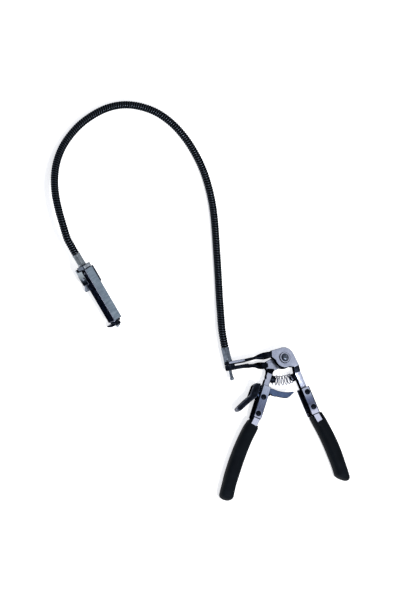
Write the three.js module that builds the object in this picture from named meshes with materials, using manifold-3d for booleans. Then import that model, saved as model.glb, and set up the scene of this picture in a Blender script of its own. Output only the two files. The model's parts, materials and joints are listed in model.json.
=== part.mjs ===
// Remote-action hose-clamp pliers: two crossing halves on one pivot pull a wire through a
// long gooseneck sheath, and the wire closes a sliding jaw in the channel-shaped head.
// Millimetres, +Z up. The tool lies on its back: the pivot axis is Z, and the origin is the
// middle of the pivot nut's flat back face.
import * as THREE from "three";
import { mergeVertices } from "three/addons/utils/BufferGeometryUtils.js";
import { ConvexGeometry } from "three/addons/geometries/ConvexGeometry.js";
import Module from "manifold-3d";

const wasm = await Module();
wasm.setup();

// ---- driving dimensions ----------------------------------------------------------------
const GAP = 0.3; // working clearance between neighbouring pieces
const MID = 10; // height of the tool's middle plane

// levels along the pivot axis
const NUT_TOP = 3.5;
const BACK_PLATE = [3.8, 9.8];
const FRONT_PLATE = [10.2, 16.2];
const ARM_BAR = [6.2, 13.8];
const WASHER = [16.5, 17.8];
const BOSS_RADIUS = 14;
const PIVOT_RADIUS = 4;

// handles: angle from -Y, how far outward the centreline passes the pivot, lengths along it
const HANDLE_WIDTH = 12.4;
const RIGHT = { side: 1, angle: 24.3, offset: 10.3, armStart: 23.5, top: 46.5, bend: 84.5 };
const LEFT = { side: -1, angle: -18, offset: 12.2, armStart: 27, top: 46, bend: 92.5 };
const RIGHT_RIVETS = [53.3, 74.7];
const LEFT_RIVETS = [62.5, 86.3];
const RIVET_RADIUS = 2;
const SHELL_BACK = 1.4;
const SHELL_FRONT = 18.6;
const SHEET = 1.6;
const BEND_ANGLE = 8.6;
const NECK_WIDTH = 10;
const NECK_LENGTH = 40;
const GRIP_HALF = [9.4, 10];

// lock quadrant, concentric with the pivot when latched
const QUADRANT = { inner: 46.4, outer: 54.9, back: 14.2, front: 16.7 };

// cable end at the pliers: top of the ferrule, and its lean from -Y
const CABLE_END = { x: -82.2, y: 8.5, lean: 13.4 };
const FERRULE_LENGTH = 16.6;
const FERRULE_RADIUS = 5.7;
const WIRE_RADIUS = 1;

// sheath and its route along the middle of the hose
const SHEATH_RADIUS = 4.9;
const SHEATH_BORE = 2.5;

// remote head, in its own frame: +X away from the cable, +Z out of the channel's web
const HEAD = { x: -284.3, y: 97.5, z: 24.4, roll: -10, pitch: 4.5, turn: -55.4 };
const CHANNEL = { length: 78.6, halfWidth: 6.5, halfDepth: 7.8, wall: 1.9 };
const WIRE_LEVEL = -2; // the wire's height in the channel
const JAW_FACE = 28.8; // working face of the fixed jaw
const FOOT_FACE = 81.4; // working face of the moving jaw, jaws open

// ---- finishes --------------------------------------------------------------------------
const finish = (color, roughness, metalness) =>
  new THREE.MeshStandardMaterial({ color, roughness, metalness });
const plateSteel = finish(0xb9c3d6, 0.38, 0.9);
const blackOxide = finish(0x1b1c24, 0.45, 0.6);
const blueSteel = finish(0x43526b, 0.42, 0.8);
const zincSteel = finish(0x8d949c, 0.35, 0.9);
const springSteel = finish(0x6d6f7c, 0.3, 0.95);
const dippedVinyl = finish(0x11141c, 0.7, 0);
const blackHose = finish(0x16171b, 0.4, 0.5);

// ---- scene graph and solids ------------------------------------------------------------
const pliers = new THREE.Group();
const radians = THREE.MathUtils.degToRad;

function node(name, geometry, material, parent = pliers) {
  const mesh = new THREE.Mesh(geometry, material);
  mesh.name = name;
  parent.add(mesh);
  return mesh;
}

function toSolid(geometry) {
  const bare = geometry.clone();
  bare.deleteAttribute("normal");
  bare.deleteAttribute("uv");
  const merged = mergeVertices(bare, 1e-4);
  return new wasm.Manifold(new wasm.Mesh({
    numProp: 3,
    vertProperties: new Float32Array(merged.attributes.position.array),
    triVerts: new Uint32Array(merged.index.array),
  }));
}

function toGeometry(solid) {
  const mesh = solid.getMesh();
  const geometry = new THREE.BufferGeometry();
  geometry.setAttribute("position", new THREE.BufferAttribute(mesh.vertProperties, 3));
  geometry.setIndex(new THREE.BufferAttribute(mesh.triVerts, 1));
  return geometry;
}

function joined(...geometries) {
  return toGeometry(geometries.map(toSolid).reduce((whole, next) => whole.add(next)));
}

function cut(geometry, ...tools) {
  return toGeometry(tools.map(toSolid).reduce((left, tool) => left.subtract(tool), toSolid(geometry)));
}

// ---- plain shapes ----------------------------------------------------------------------
// a box given by its lowest and highest corners
function box([x0, y0, z0], [x1, y1, z1]) {
  const geometry = new THREE.BoxGeometry(x1 - x0, y1 - y0, z1 - z0);
  return geometry.translate((x0 + x1) / 2, (y0 + y1) / 2, (z0 + z1) / 2);
}

// an outline in the XY plane, as thick as from bottom to top
function plate(outline, [bottom, top]) {
  const shape = Array.isArray(outline)
    ? new THREE.Shape(outline.map(([x, y]) => new THREE.Vector2(x, y)))
    : outline;
  const geometry = new THREE.ExtrudeGeometry(shape, {
    depth: top - bottom,
    bevelEnabled: false,
    curveSegments: 12,
  });
  return geometry.translate(0, 0, bottom);
}

// a round bar along Z
function rod(radius, [bottom, top], x = 0, y = 0, sides = 24) {
  const geometry = new THREE.CylinderGeometry(radius, radius, top - bottom, sides);
  return geometry.rotateX(Math.PI / 2).translate(x, y, (bottom + top) / 2);
}

// a round bar along X
function rodX(radius, [start, end], y = 0, z = 0, sides = 20) {
  return rod(radius, [start, end], 0, 0, sides).rotateY(Math.PI / 2).translate(0, y, z);
}

// a round bar along -Y, from one depth to another
function rodDown(radius, [start, end], x = 0, z = MID, sides = 20) {
  const geometry = new THREE.CylinderGeometry(radius, radius, end - start, sides);
  return geometry.translate(x, -(start + end) / 2, z);
}

// a turned piece about Z from [radius, height] pairs
function turned(profile, sides = 28) {
  const points = profile.map(([radius, height]) => new THREE.Vector2(radius, height));
  return new THREE.LatheGeometry(points, sides).rotateX(Math.PI / 2);
}

// the smallest body round two flat-ended discs of one thickness
function link([x0, y0, r0], [x1, y1, r1], [bottom, top]) {
  const points = [];
  for (const [x, y, r] of [[x0, y0, r0], [x1, y1, r1]]) {
    for (let i = 0; i < 20; i++) {
      const angle = (i / 20) * 2 * Math.PI;
      for (const z of [bottom, top]) {
        points.push(new THREE.Vector3(x + r * Math.cos(angle), y + r * Math.sin(angle), z));
      }
    }
  }
  return new ConvexGeometry(points);
}

// a straight blend between two four-cornered sections, each given by its edge and levels
function joggle(sections) {
  const points = [];
  for (const { edge, levels } of sections) {
    for (const [x, y] of edge) {
      for (const z of levels) points.push(new THREE.Vector3(x, y, z));
    }
  }
  return new ConvexGeometry(points);
}

// wire wound on a path: radius of the winding, turns, and the path's middle line
class Winding extends THREE.Curve {
  constructor(middle, radius, turns) {
    super();
    Object.assign(this, { middle, radius, turns });
  }
  getPoint(t, target = new THREE.Vector3()) {
    const centre = this.middle.getPoint(t);
    const along = this.middle.getTangent(t);
    const up = new THREE.Vector3(0, 0, 1);
    const across = new THREE.Vector3().crossVectors(up, along).normalize();
    const raised = new THREE.Vector3().crossVectors(along, across);
    const angle = t * this.turns * 2 * Math.PI;
    return target
      .copy(centre)
      .addScaledVector(across, this.radius * Math.cos(angle))
      .addScaledVector(raised, this.radius * Math.sin(angle));
  }
}

function ring(radius, sides) {
  const shape = new THREE.Shape();
  for (let i = 0; i < sides; i++) {
    const angle = (i / sides) * 2 * Math.PI;
    const place = [radius * Math.cos(angle), radius * Math.sin(angle)];
    if (i === 0) shape.moveTo(...place);
    else shape.lineTo(...place);
  }
  shape.closePath();
  return shape;
}

function tube(curve, radius, sides, steps, bore = 0) {
  const shape = ring(radius, sides);
  if (bore > 0) shape.holes.push(ring(bore, sides));
  return new THREE.ExtrudeGeometry(shape, { extrudePath: curve, steps, bevelEnabled: false });
}

// ---- frames ----------------------------------------------------------------------------
// a handle's own frame: -Y runs down the handle, and X is across it
function handleFrame({ angle }) {
  const frame = new THREE.Group();
  frame.rotation.z = radians(angle);
  return frame;
}

// a point in the handle's frame carried into the tool's: s down the handle, t outward
function onHandle({ side, angle }, s, t) {
  const point = new THREE.Vector3(side * t, -s, 0);
  point.applyAxisAngle(new THREE.Vector3(0, 0, 1), radians(angle));
  return [point.x, point.y];
}

const inTool = (geometry, { angle }) => geometry.rotateZ(radians(angle));

// ---- the two crossing halves -----------------------------------------------------------
// the straight bar that a handle shell is riveted to
function armBar(handle, width, end, rivets) {
  const { side, offset, armStart } = handle;
  const middle = side * offset;
  const bar = box([middle - width / 2, -end, ARM_BAR[0]], [middle + width / 2, -armStart, ARM_BAR[1]]);
  const holes = rivets.map((s) => rod(RIVET_RADIUS + GAP, [0, 20], middle, -s));
  return inTool(cut(bar, ...holes), handle);
}

const EYE_RADIUS = 5.7;
const UPPER_EYE = [19.5, 23.1]; // depths below the top of the ferrule
const LOWER_EYE = [23.9, 30.4];
const LOWER_STRIP = [26.4, 30.4];
const STRIP_REACH = 26;
const STRIP_LEVELS = [MID - EYE_RADIUS, MID + EYE_RADIUS];
const CLAMP_SCREW_RADIUS = 1.25;
const CLAMP_SCREW_DOWN = 27.2;

// a jaw's flat end: an eye round the wire's line and a strip running back towards the pivot
function jawEnd([start, end], bore, reach) {
  const eye = rodDown(EYE_RADIUS, [start, end], 0, MID, 28);
  const strip = box([0, -end, MID - EYE_RADIUS], [reach, -start, MID + EYE_RADIUS]);
  const whole = cut(joined(eye, strip), rodDown(bore, [start - 1, end + 1]));
  return atCableEnd(whole);
}

function atCableEnd(geometry) {
  return geometry.rotateZ(radians(CABLE_END.lean)).translate(CABLE_END.x, CABLE_END.y, 0);
}

// corners of a jaw strip's inner end, in the tool's frame
function stripEdge([start, end], x) {
  return [start, end].map((down) => {
    const corner = new THREE.Vector3(x, -down, 0);
    corner.applyAxisAngle(new THREE.Vector3(0, 0, 1), radians(CABLE_END.lean));
    return [corner.x + CABLE_END.x, corner.y + CABLE_END.y];
  });
}

function frontHalf() {
  const outline = new THREE.Shape();
  outline.moveTo(-18.8, 8.2);
  outline.lineTo(BOSS_RADIUS * Math.cos(radians(111)), BOSS_RADIUS * Math.sin(radians(111)));
  outline.absarc(0, 0, BOSS_RADIUS, radians(111), radians(25), true);
  outline.lineTo(20.4, -8.4);
  outline.lineTo(13.6, -11.6);
  outline.absarc(0, 0, 13.4, radians(-60), radians(-162), true);
  outline.lineTo(-18.3, -0.6);
  const boss = cut(plate(outline, FRONT_PLATE), rod(PIVOT_RADIUS + GAP, [0, 20]));
  const arm = armBar(RIGHT, 8.6, 80, RIGHT_RIVETS);
  const { armStart, offset } = RIGHT;
  const bend = joggle([
    { edge: [[12.4, -9.4], [19.4, -6.2]], levels: FRONT_PLATE },
    { edge: [[13.6, -11.6], [20.4, -8.4]], levels: FRONT_PLATE },
    {
      edge: [onHandle(RIGHT, armStart + 1, offset - 4.3), onHandle(RIGHT, armStart + 1, offset + 4.3)],
      levels: ARM_BAR,
    },
  ]);
  const twist = joggle([
    { edge: stripEdge(UPPER_EYE, STRIP_REACH - 1), levels: STRIP_LEVELS },
    { edge: [[-16.4, 8.8], [-15.4, 1.2]], levels: FRONT_PLATE },
  ]);
  return joined(boss, bend, arm, twist, jawEnd(UPPER_EYE, 3 + GAP, STRIP_REACH));
}

function backHalf() {
  const boss = cut(
    joined(
      rod(13.7, BACK_PLATE, 0, 0, 36),
      plate([[-24.4, -6.2], [-6, 5], [6, -8], [-12.6, -17.6], [-22.6, -17.9], [-24.8, -14.2]], BACK_PLATE),
    ),
    rod(PIVOT_RADIUS + GAP, [0, 20]),
  );
  const arm = armBar(LEFT, 7.6, 90.4, LEFT_RIVETS);
  const { armStart, offset } = LEFT;
  const bend = joggle([
    { edge: [[-12.9, -15.4], [-22.4, -15.6]], levels: BACK_PLATE },
    { edge: [[-12.6, -17.6], [-22.6, -17.9]], levels: BACK_PLATE },
    {
      edge: [onHandle(LEFT, armStart + 1, offset - 3.8), onHandle(LEFT, armStart + 1, offset + 3.8)],
      levels: ARM_BAR,
    },
  ]);
  const twist = joggle([
    { edge: stripEdge(LOWER_STRIP, STRIP_REACH - 1), levels: STRIP_LEVELS },
    { edge: [[-23.4, -6.6], [-23.6, -14.4]], levels: BACK_PLATE },
  ]);
  const whole = joined(boss, bend, arm, twist, jawEnd(LOWER_EYE, 2.15 + GAP, STRIP_REACH));
  const strip = atCableEnd(box([6, -LOWER_STRIP[0], 0], [STRIP_REACH, -LOWER_EYE[0] + 1, 20]));
  const screwHole = atCableEnd(rod(CLAMP_SCREW_RADIUS + GAP, [2, MID], 0, -CLAMP_SCREW_DOWN, 12));
  return cut(whole, strip, screwHole);
}

node("upper_jaw_arm", frontHalf(), plateSteel);
node("lower_jaw_arm", backHalf(), plateSteel);

// ---- pivot -----------------------------------------------------------------------------
const BLIND = 1.2; // closed end of the pivot nut
node("pivot_nut", cut(rod(7.3, [0, NUT_TOP], 0, 0, 6), rod(PIVOT_RADIUS + GAP, [BLIND, 5])), zincSteel);
node("pivot_washer", cut(rod(7.5, WASHER, 0, 0, 32), rod(PIVOT_RADIUS + GAP, [15, 19])), zincSteel);
node("pivot_bolt", turned([
  [0, BLIND + GAP], [PIVOT_RADIUS, BLIND + GAP], [PIVOT_RADIUS, 18.1], [4.6, 18.1],
  [4.6, 19.2], [3.9, 20.3], [2.4, 21], [0, 21.2],
]), blackOxide);

// ---- handle shells, rivets and packing -------------------------------------------------
// the folded sheet channel: its web is outward, and it is open towards the other handle
function channelOutline(inner, outer, back, front, roundness) {
  const shape = new THREE.Shape();
  const centre = outer - roundness;
  const inside = roundness - SHEET;
  shape.moveTo(inner, back);
  shape.lineTo(centre, back); // an arc that comes first would drop the point before it
  shape.absarc(centre, back + roundness, roundness, radians(-90), 0, false);
  shape.absarc(centre, front - roundness, roundness, 0, radians(90), false);
  shape.lineTo(inner, front);
  shape.lineTo(inner, front - SHEET);
  shape.absarc(centre, front - roundness, inside, radians(90), 0, true);
  shape.absarc(centre, back + roundness, inside, 0, radians(-90), true);
  shape.lineTo(inner, back + SHEET);
  return shape;
}

function runDown(shape, [start, end]) {
  const geometry = new THREE.ExtrudeGeometry(shape, {
    depth: end - start,
    bevelEnabled: false,
    curveSegments: 4,
  });
  return geometry.rotateX(Math.PI / 2).translate(0, -start, 0);
}

// turns what is below the handle's bend, about the bend's middle
function bentOutward(geometry, { offset, bend }) {
  return geometry
    .translate(-offset, bend, 0)
    .rotateZ(radians(BEND_ANGLE))
    .translate(offset, -bend, 0);
}

// the left piece is the right one turned over about the handle's own line
const onSide = (geometry, { side }) =>
  side > 0 ? geometry : geometry.translate(0, 0, -MID).rotateY(Math.PI).translate(0, 0, MID);

const NECK_LEVELS = [SHELL_BACK + 0.6, SHELL_FRONT - 0.6];

function handleShell(handle, rivets, ...slots) {
  const { offset, top, bend } = handle;
  const half = HANDLE_WIDTH / 2;
  const section = channelOutline(offset - half, offset + half, SHELL_BACK, SHELL_FRONT, 2.4);
  const neckHalf = NECK_WIDTH / 2;
  const neckSection = channelOutline(offset - neckHalf, offset + neckHalf, ...NECK_LEVELS, 2);
  const neck = bentOutward(runDown(neckSection, [bend - 1.5, bend + NECK_LENGTH]), handle);
  const holes = rivets.map((s) => rod(RIVET_RADIUS + GAP, [0, 20], offset, -s, 16));
  const shell = cut(joined(runDown(section, [top, bend]), neck), ...holes);
  const turnedOver = onSide(shell, handle);
  return slots.length ? cut(turnedOver, ...slots) : turnedOver;
}

const rightHandle = handleFrame(RIGHT);
const leftHandle = handleFrame(LEFT);
pliers.add(rightHandle, leftHandle);

node("right_handle_shell", handleShell(RIGHT, RIGHT_RIVETS), plateSteel, rightHandle);
const leftWeb = -LEFT.offset - HANDLE_WIDTH / 2;
const lockSlot = box([leftWeb - 1, -72, 13.6], [leftWeb + 3, -44, 16.99]);
const springSlot = box([leftWeb - 1, -66, 3.2], [leftWeb + 3, -54, 5.8]);
node("left_handle_shell", handleShell(LEFT, LEFT_RIVETS, lockSlot, springSlot), plateSteel, leftHandle);

function rivet(x, s) {
  const profile = [
    [0, 0.2], [3, 0.4], [3, SHELL_BACK - GAP], [RIVET_RADIUS, SHELL_BACK - GAP],
    [RIVET_RADIUS, SHELL_FRONT + GAP], [3.7, SHELL_FRONT + GAP], [3.5, 19.8], [2, 20.5], [0, 20.6],
  ];
  return turned(profile, 18).translate(x, -s, 0);
}

RIGHT_RIVETS.forEach((s, i) => {
  node(`right_handle_rivet_${i + 1}`, rivet(RIGHT.offset, s), blackOxide, rightHandle);
});
node("lock_pivot_pin", rivet(-LEFT.offset, LEFT_RIVETS[0]), blackOxide, leftHandle);
node("left_handle_rivet", rivet(-LEFT.offset, LEFT_RIVETS[1]), blackOxide, leftHandle);

const PACKING = [SHELL_BACK + SHEET + GAP, ARM_BAR[0] - GAP];
function packingStrip({ side, offset }, [start, end], rivets) {
  const across = [offset - 5.8, offset + 4.2].map((t) => side * t).sort((a, b) => a - b);
  const strip = box([across[0], -end, PACKING[0]], [across[1], -start, PACKING[1]]);
  return cut(strip, ...rivets.map((s) => rod(RIVET_RADIUS + GAP, [0, 20], side * offset, -s, 16)));
}
node("right_packing_strip", packingStrip(RIGHT, [48, 80], RIGHT_RIVETS), blackOxide, rightHandle);
node("left_packing_strip", packingStrip(LEFT, [74, 90], [LEFT_RIVETS[1]]), blackOxide, leftHandle);

// ---- dipped grips ----------------------------------------------------------------------
// rings of one count joined into a closed skin, with a point at each end
function loft(rings) {
  const count = rings[0].length;
  const points = rings.flat();
  const faces = [];
  const first = points.length;
  for (const end of [rings[0], rings[rings.length - 1]]) {
    points.push(end.reduce((sum, p) => sum.clone().add(p), new THREE.Vector3()).divideScalar(count));
  }
  for (let i = 0; i < count; i++) {
    const next = (i + 1) % count;
    for (let k = 0; k + 1 < rings.length; k++) {
      const [a, b, c, d] = [k * count + i, k * count + next, (k + 1) * count + next, (k + 1) * count + i];
      faces.push(a, b, c, a, c, d);
    }
    const last = (rings.length - 1) * count;
    faces.push(first, next, i, first + 1, last + i, last + next);
  }
  const geometry = new THREE.BufferGeometry();
  geometry.setAttribute("position", new THREE.Float32BufferAttribute(points.flatMap((p) => p.toArray()), 3));
  geometry.setIndex(faces);
  return geometry;
}

// the grip's rounded section, squarer than an ellipse
function gripRing(centre, across, scale, sides = 24) {
  const squareness = 0.78;
  const points = [];
  for (let i = 0; i < sides; i++) {
    const angle = (i / sides) * 2 * Math.PI;
    const x = Math.sign(Math.cos(angle)) * Math.abs(Math.cos(angle)) ** squareness;
    const z = Math.sign(Math.sin(angle)) * Math.abs(Math.sin(angle)) ** squareness;
    const place = centre.clone().addScaledVector(across, x * GRIP_HALF[0] * scale);
    points.push(place.setZ(MID + z * GRIP_HALF[1] * scale));
  }
  return points;
}

// a grip along its curved middle line, given in the tool's frame
function grip(line, handle) {
  const curve = new THREE.CatmullRomCurve3(line.map(([x, y]) => new THREE.Vector3(x, y, MID)));
  const steps = 16;
  const rings = [];
  for (let i = 0; i <= steps; i++) {
    const along = curve.getTangentAt(i / steps);
    const across = new THREE.Vector3(-along.y, along.x, 0);
    const swell = 1 - 0.06 * Math.cos((i / steps) * 2 * Math.PI);
    const closing = i === steps ? 0.6 : i === steps - 1 ? 0.93 : 1;
    rings.push(gripRing(curve.getPointAt(i / steps), across, Math.min(swell, 1) * closing));
  }
  const { side, offset, bend } = handle;
  const half = NECK_WIDTH / 2 + GAP;
  const pocket = box(
    [offset - half, -bend - NECK_LENGTH - GAP, NECK_LEVELS[0] - GAP],
    [offset + half, -bend + 5, NECK_LEVELS[1] + GAP],
  );
  // the notch that leaves the steel bare is at the front of both grips, and the left
  // grip's tools are turned over, so its notch starts at the back
  const [notchLow, notchHigh] = side > 0 ? [MID, 22] : [-2, MID];
  const notch = box([offset - 4.6, -bend - 11, notchLow], [offset + 4.6, -bend + 5, notchHigh]);
  const tools = [pocket, notch].map((tool) => inTool(onSide(bentOutward(tool, handle), handle), handle));
  return cut(loft(rings), ...tools);
}

const RIGHT_GRIP_LINE = [[45.6, -73], [51.6, -82.3], [59.3, -95.4], [67.2, -110.5], [74.4, -127],
  [80.6, -143.5], [85.4, -158.5]];
const LEFT_GRIP_LINE = [[-42, -89.5], [-48.8, -101.5], [-56.4, -117], [-65, -138.2], [-73.4, -163],
  [-78.6, -182], [-81.6, -196]];
node("right_grip", grip(RIGHT_GRIP_LINE, RIGHT), dippedVinyl);
node("left_grip", grip(LEFT_GRIP_LINE, LEFT), dippedVinyl);

// ---- handle spring and its seats -------------------------------------------------------
// each seat stands on the arm's inner face: a flange, then a spigot inside the spring
const SEAT = { flange: 5.4, flangeLength: 4.6, spigot: 4, spigotLength: 2.6 };
function springSeat() {
  const { flange, flangeLength, spigot, spigotLength } = SEAT;
  const end = flangeLength + spigotLength;
  return turned([[0, GAP], [flange, GAP], [flange, flangeLength], [spigot, flangeLength], [spigot, end], [0, end]], 20);
}

// places a Z-pointing piece on the inner face of an arm, pointing at the other arm
function seated(geometry, handle, s, faceOffset) {
  const { side } = handle;
  return inTool(
    geometry.rotateY((-side * Math.PI) / 2).translate(side * faceOffset, -s, MID),
    handle,
  );
}

const LEFT_SEAT = { s: 32.5, face: LEFT.offset - 3.8 };
const RIGHT_SEAT = { s: 28.5, face: RIGHT.offset - 4.3 };
node("left_spring_seat", seated(springSeat(), LEFT, LEFT_SEAT.s, LEFT_SEAT.face), blackOxide);
node("right_spring_seat", seated(springSeat(), RIGHT, RIGHT_SEAT.s, RIGHT_SEAT.face), blackOxide);

function seatPoint(handle, seat, out) {
  const [x, y] = onHandle(handle, seat.s, seat.face - out);
  return new THREE.Vector3(x, y, MID);
}
const SPRING_WIRE = 0.65;
const springLine = new THREE.CubicBezierCurve3(
  seatPoint(LEFT, LEFT_SEAT, SEAT.flangeLength + SPRING_WIRE + GAP),
  seatPoint(LEFT, LEFT_SEAT, SEAT.flangeLength + 8),
  seatPoint(RIGHT, RIGHT_SEAT, SEAT.flangeLength + 8),
  seatPoint(RIGHT, RIGHT_SEAT, SEAT.flangeLength + SPRING_WIRE + GAP),
);
node("handle_spring", tube(new Winding(springLine, 6.1, 6), SPRING_WIRE, 6, 84), springSteel);

// ---- ratchet lock ----------------------------------------------------------------------
const polar = (radius, degrees) => [
  radius * Math.sin(radians(degrees)), -radius * Math.cos(radians(degrees))];
const LOCK_PIN = onHandle(LEFT, LEFT_RIVETS[0], LEFT.offset);
const LOCK_TAIL = [-42.2, -47.4];
const TAIL_RIVET = { radius: 1.5, top: 17.3 };
const tailHole = (top) => rod(TAIL_RIVET.radius + GAP, [0, top], ...LOCK_TAIL, 12);

function lockQuadrant() {
  const { inner, outer, back, front } = QUADRANT;
  const outline = [];
  for (let degrees = 14; degrees >= -20; degrees -= 2) outline.push(polar(inner, degrees));
  outline.push([-19.2, -52.6], polar(outer + 0.4, -15));
  const teeth = 12;
  for (let tooth = 0; tooth < teeth; tooth++) {
    const degrees = -13 + (tooth * 15) / teeth;
    outline.push(polar(outer, degrees), polar(outer - 0.8, degrees + 1));
  }
  outline.push(polar(outer, 2.3), polar(53.5, 6.4), polar(48.4, 15.2), polar(47, 16.2));
  const levels = [back, front];
  const whole = joined(
    plate(outline, levels),
    link([-18.6, -46.8, 4], [-25.5, -49, 3.6], levels),
    link([-25.5, -49, 3.6], [...LOCK_PIN, 4.6], levels),
    link([...LOCK_PIN, 4.6], [...LOCK_TAIL, 3], levels),
  );
  return cut(whole, rod(RIVET_RADIUS + GAP, [0, 20], ...LOCK_PIN), tailHole(front + 1));
}

// the thumb lever is one thick piece with the quadrant's tail riveted into a slot in its back half
const LEVER_LEVELS = [3.4, 18.4];
function thumbLever() {
  const outline = [[-33.6, -37.4], [-41.2, -36.9], [-44.8, -39.9], [-50.7, -56.2], [-55.2, -59.4],
    [-68.9, -73.2], [-69.4, -76.4], [-66.8, -78.6], [-63, -78.3], [-47.9, -63.5], [-39.8, -56.4], [-37.2, -50.5]];
  const tailSlot = link([...LOCK_PIN, 5.2], [...LOCK_TAIL, 3.6], [QUADRANT.back - GAP, QUADRANT.front + GAP]);
  return cut(plate(outline, LEVER_LEVELS), tailSlot, tailHole(TAIL_RIVET.top + GAP));
}
node("lock_quadrant", lockQuadrant(), blueSteel);
node("lock_thumb_lever", thumbLever(), blackOxide);
node("lock_lever_rivet", turned([
  [0, 2], [2.6, 2.2], [2.6, LEVER_LEVELS[0] - GAP], [TAIL_RIVET.radius, LEVER_LEVELS[0] - GAP],
  [TAIL_RIVET.radius, TAIL_RIVET.top], [0, TAIL_RIVET.top],
], 14).translate(...LOCK_TAIL, 0), zincSteel);

// the catch on the right arm that the quadrant's teeth drop onto
node("lock_catch", plate([[5.2, -55.8], [8.6, -56.6], [8.6, -60.6], [5.2, -60.6]], [
  ARM_BAR[1] + GAP, QUADRANT.front]), blueSteel, rightHandle);

// torsion spring round the lock pin, behind the arm bar, with one leg out to the lever
function lockSpring() {
  const points = [];
  const [x, y] = LOCK_PIN;
  const turns = 2;
  const perTurn = 12;
  const radius = 3.3;
  points.push(new THREE.Vector3(x - 8.9, y - 1.5, 3.9));
  points.push(new THREE.Vector3(x - 6, y + radius - 1.2, 3.9));
  for (let i = 0; i <= turns * perTurn; i++) {
    const angle = Math.PI / 2 - (i / perTurn) * 2 * Math.PI;
    const rise = 3.9 + (i / (turns * perTurn)) * 1.4;
    points.push(new THREE.Vector3(x + radius * Math.cos(angle), y + radius * Math.sin(angle), rise));
  }
  points.push(new THREE.Vector3(x + 3.6, y + radius + 1, 5.3));
  return tube(new THREE.CatmullRomCurve3(points), 0.4, 5, 60);
}
node("lock_spring", lockSpring(), springSteel);

// ---- crimped ferrule, used at both ends of the sheath ----------------------------------
// along -Y from the sheath's end: collar, hexagonal crimp, collar, then a thin spigot
function crimpFerrule(length, spigotEnd) {
  const collar = 2.2;
  const hexRadius = FERRULE_RADIUS * 1.04;
  const body = joined(
    rodDown(FERRULE_RADIUS, [0, collar], 0, 0, 28),
    rodDown(hexRadius, [collar - 0.5, length - collar + 0.5], 0, 0, 6),
    rodDown(FERRULE_RADIUS - 0.4, [collar - 0.5, length - collar + 0.5], 0, 0, 28),
    rodDown(FERRULE_RADIUS, [length - collar, length], 0, 0, 28),
    rodDown(3, [length - 0.5, spigotEnd], 0, 0, 20),
  );
  return cut(body, rodDown(WIRE_RADIUS + 0.6, [-1, spigotEnd + 1], 0, 0, 12));
}

const cableEnd = new THREE.Group();
cableEnd.position.set(CABLE_END.x, CABLE_END.y, MID);
cableEnd.rotation.z = radians(CABLE_END.lean);
pliers.add(cableEnd);

node("cable_ferrule", crimpFerrule(UPPER_EYE[0] - GAP, UPPER_EYE[1]), zincSteel, cableEnd);
const ROD_TOP = LOWER_EYE[0] + 0.6;
node("pull_wire", rodDown(WIRE_RADIUS, [8, ROD_TOP - GAP], 0, 0, 8), springSteel, cableEnd);
const BALL_DOWN = 41.6;
node("wire_end_rod", turned([
  [0, -BALL_DOWN - 3], [1.6, -BALL_DOWN - 2.5], [2.7, -BALL_DOWN - 1.3], [3, -BALL_DOWN],
  [2.6, -BALL_DOWN + 1.4], [2.15, -BALL_DOWN + 2.2], [2.15, -ROD_TOP], [0, -ROD_TOP],
], 18).rotateX(-Math.PI / 2), zincSteel, cableEnd);
node("wire_clamp_screw", rod(CLAMP_SCREW_RADIUS, [-5.6, -2.15 - GAP], 0, -CLAMP_SCREW_DOWN, 12),
  blackOxide, cableEnd);

// ---- sheath and the wire inside it -----------------------------------------------------
// middle of the hose from the pliers to the head
const SHEATH_ROUTE = [
  [-82.3, 8.8, 10], [-84.6, 20.2, 10], [-86.4, 32, 9.4], [-87.5, 54, 7.4], [-88.5, 76, 5.7],
  [-89.5, 98, 5], [-92.2, 140, 5], [-95.5, 183, 5], [-98.7, 205, 5], [-103.8, 226, 5],
  [-111.1, 247, 5], [-121.8, 267.8, 5], [-136.2, 288.4, 5], [-154.9, 306.8, 5], [-177.2, 320.2, 5],
  [-200.2, 326.4, 5], [-222.8, 327, 5], [-245.4, 321.2, 5], [-268, 308.8, 5], [-289.4, 290.7, 5],
  [-308.4, 265.2, 5.6], [-318.6, 242, 8.6], [-323.5, 219, 13.2], [-324.2, 196.5, 18.2],
  [-321.3, 174.4, 22.6], [-315.9, 153, 25.4], [-310, 135.2, 26], [-303.7, 125.3, 25.1],
];

const head = new THREE.Group();
head.position.set(HEAD.x, HEAD.y, HEAD.z);
head.rotation.set(radians(HEAD.roll), radians(HEAD.pitch), radians(HEAD.turn), "ZYX");
pliers.add(head);
head.updateMatrixWorld();

const CAP = [-5.3, -GAP];
const CAP_LOW = -8.4;
const HEAD_FERRULE_START = CAP[0] - GAP - FERRULE_LENGTH;
const headPoint = (x) => head.localToWorld(new THREE.Vector3(x, 0, WIRE_LEVEL));
const sheathPoints = SHEATH_ROUTE.map((place) => new THREE.Vector3(...place));
sheathPoints.push(headPoint(HEAD_FERRULE_START - GAP));
const sheathLine = new THREE.CatmullRomCurve3(sheathPoints, false, "centripetal");
node("sheath", tube(sheathLine, SHEATH_RADIUS, 10, 76, SHEATH_BORE), blackHose);

// the wire stops short of the head end, to leave room for the head's wire to be drawn in
const wirePoints = sheathLine.getSpacedPoints(60).slice(0, 57);
const innerLine = new THREE.CatmullRomCurve3(wirePoints, false, "centripetal");
node("inner_wire", tube(innerLine, WIRE_RADIUS, 6, 62), springSteel);

// ---- remote head -----------------------------------------------------------------------
function headChannel() {
  const { length, halfWidth, halfDepth, wall } = CHANNEL;
  const outer = box([0, -halfWidth, -halfDepth], [length, halfWidth, halfDepth]);
  const inside = box([-1, wall - halfWidth, -halfDepth - 1], [length + 1, halfWidth - wall, halfDepth - wall]);
  return cut(outer, inside, capPinHole(), ...bracketRivetHoles());
}

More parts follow.
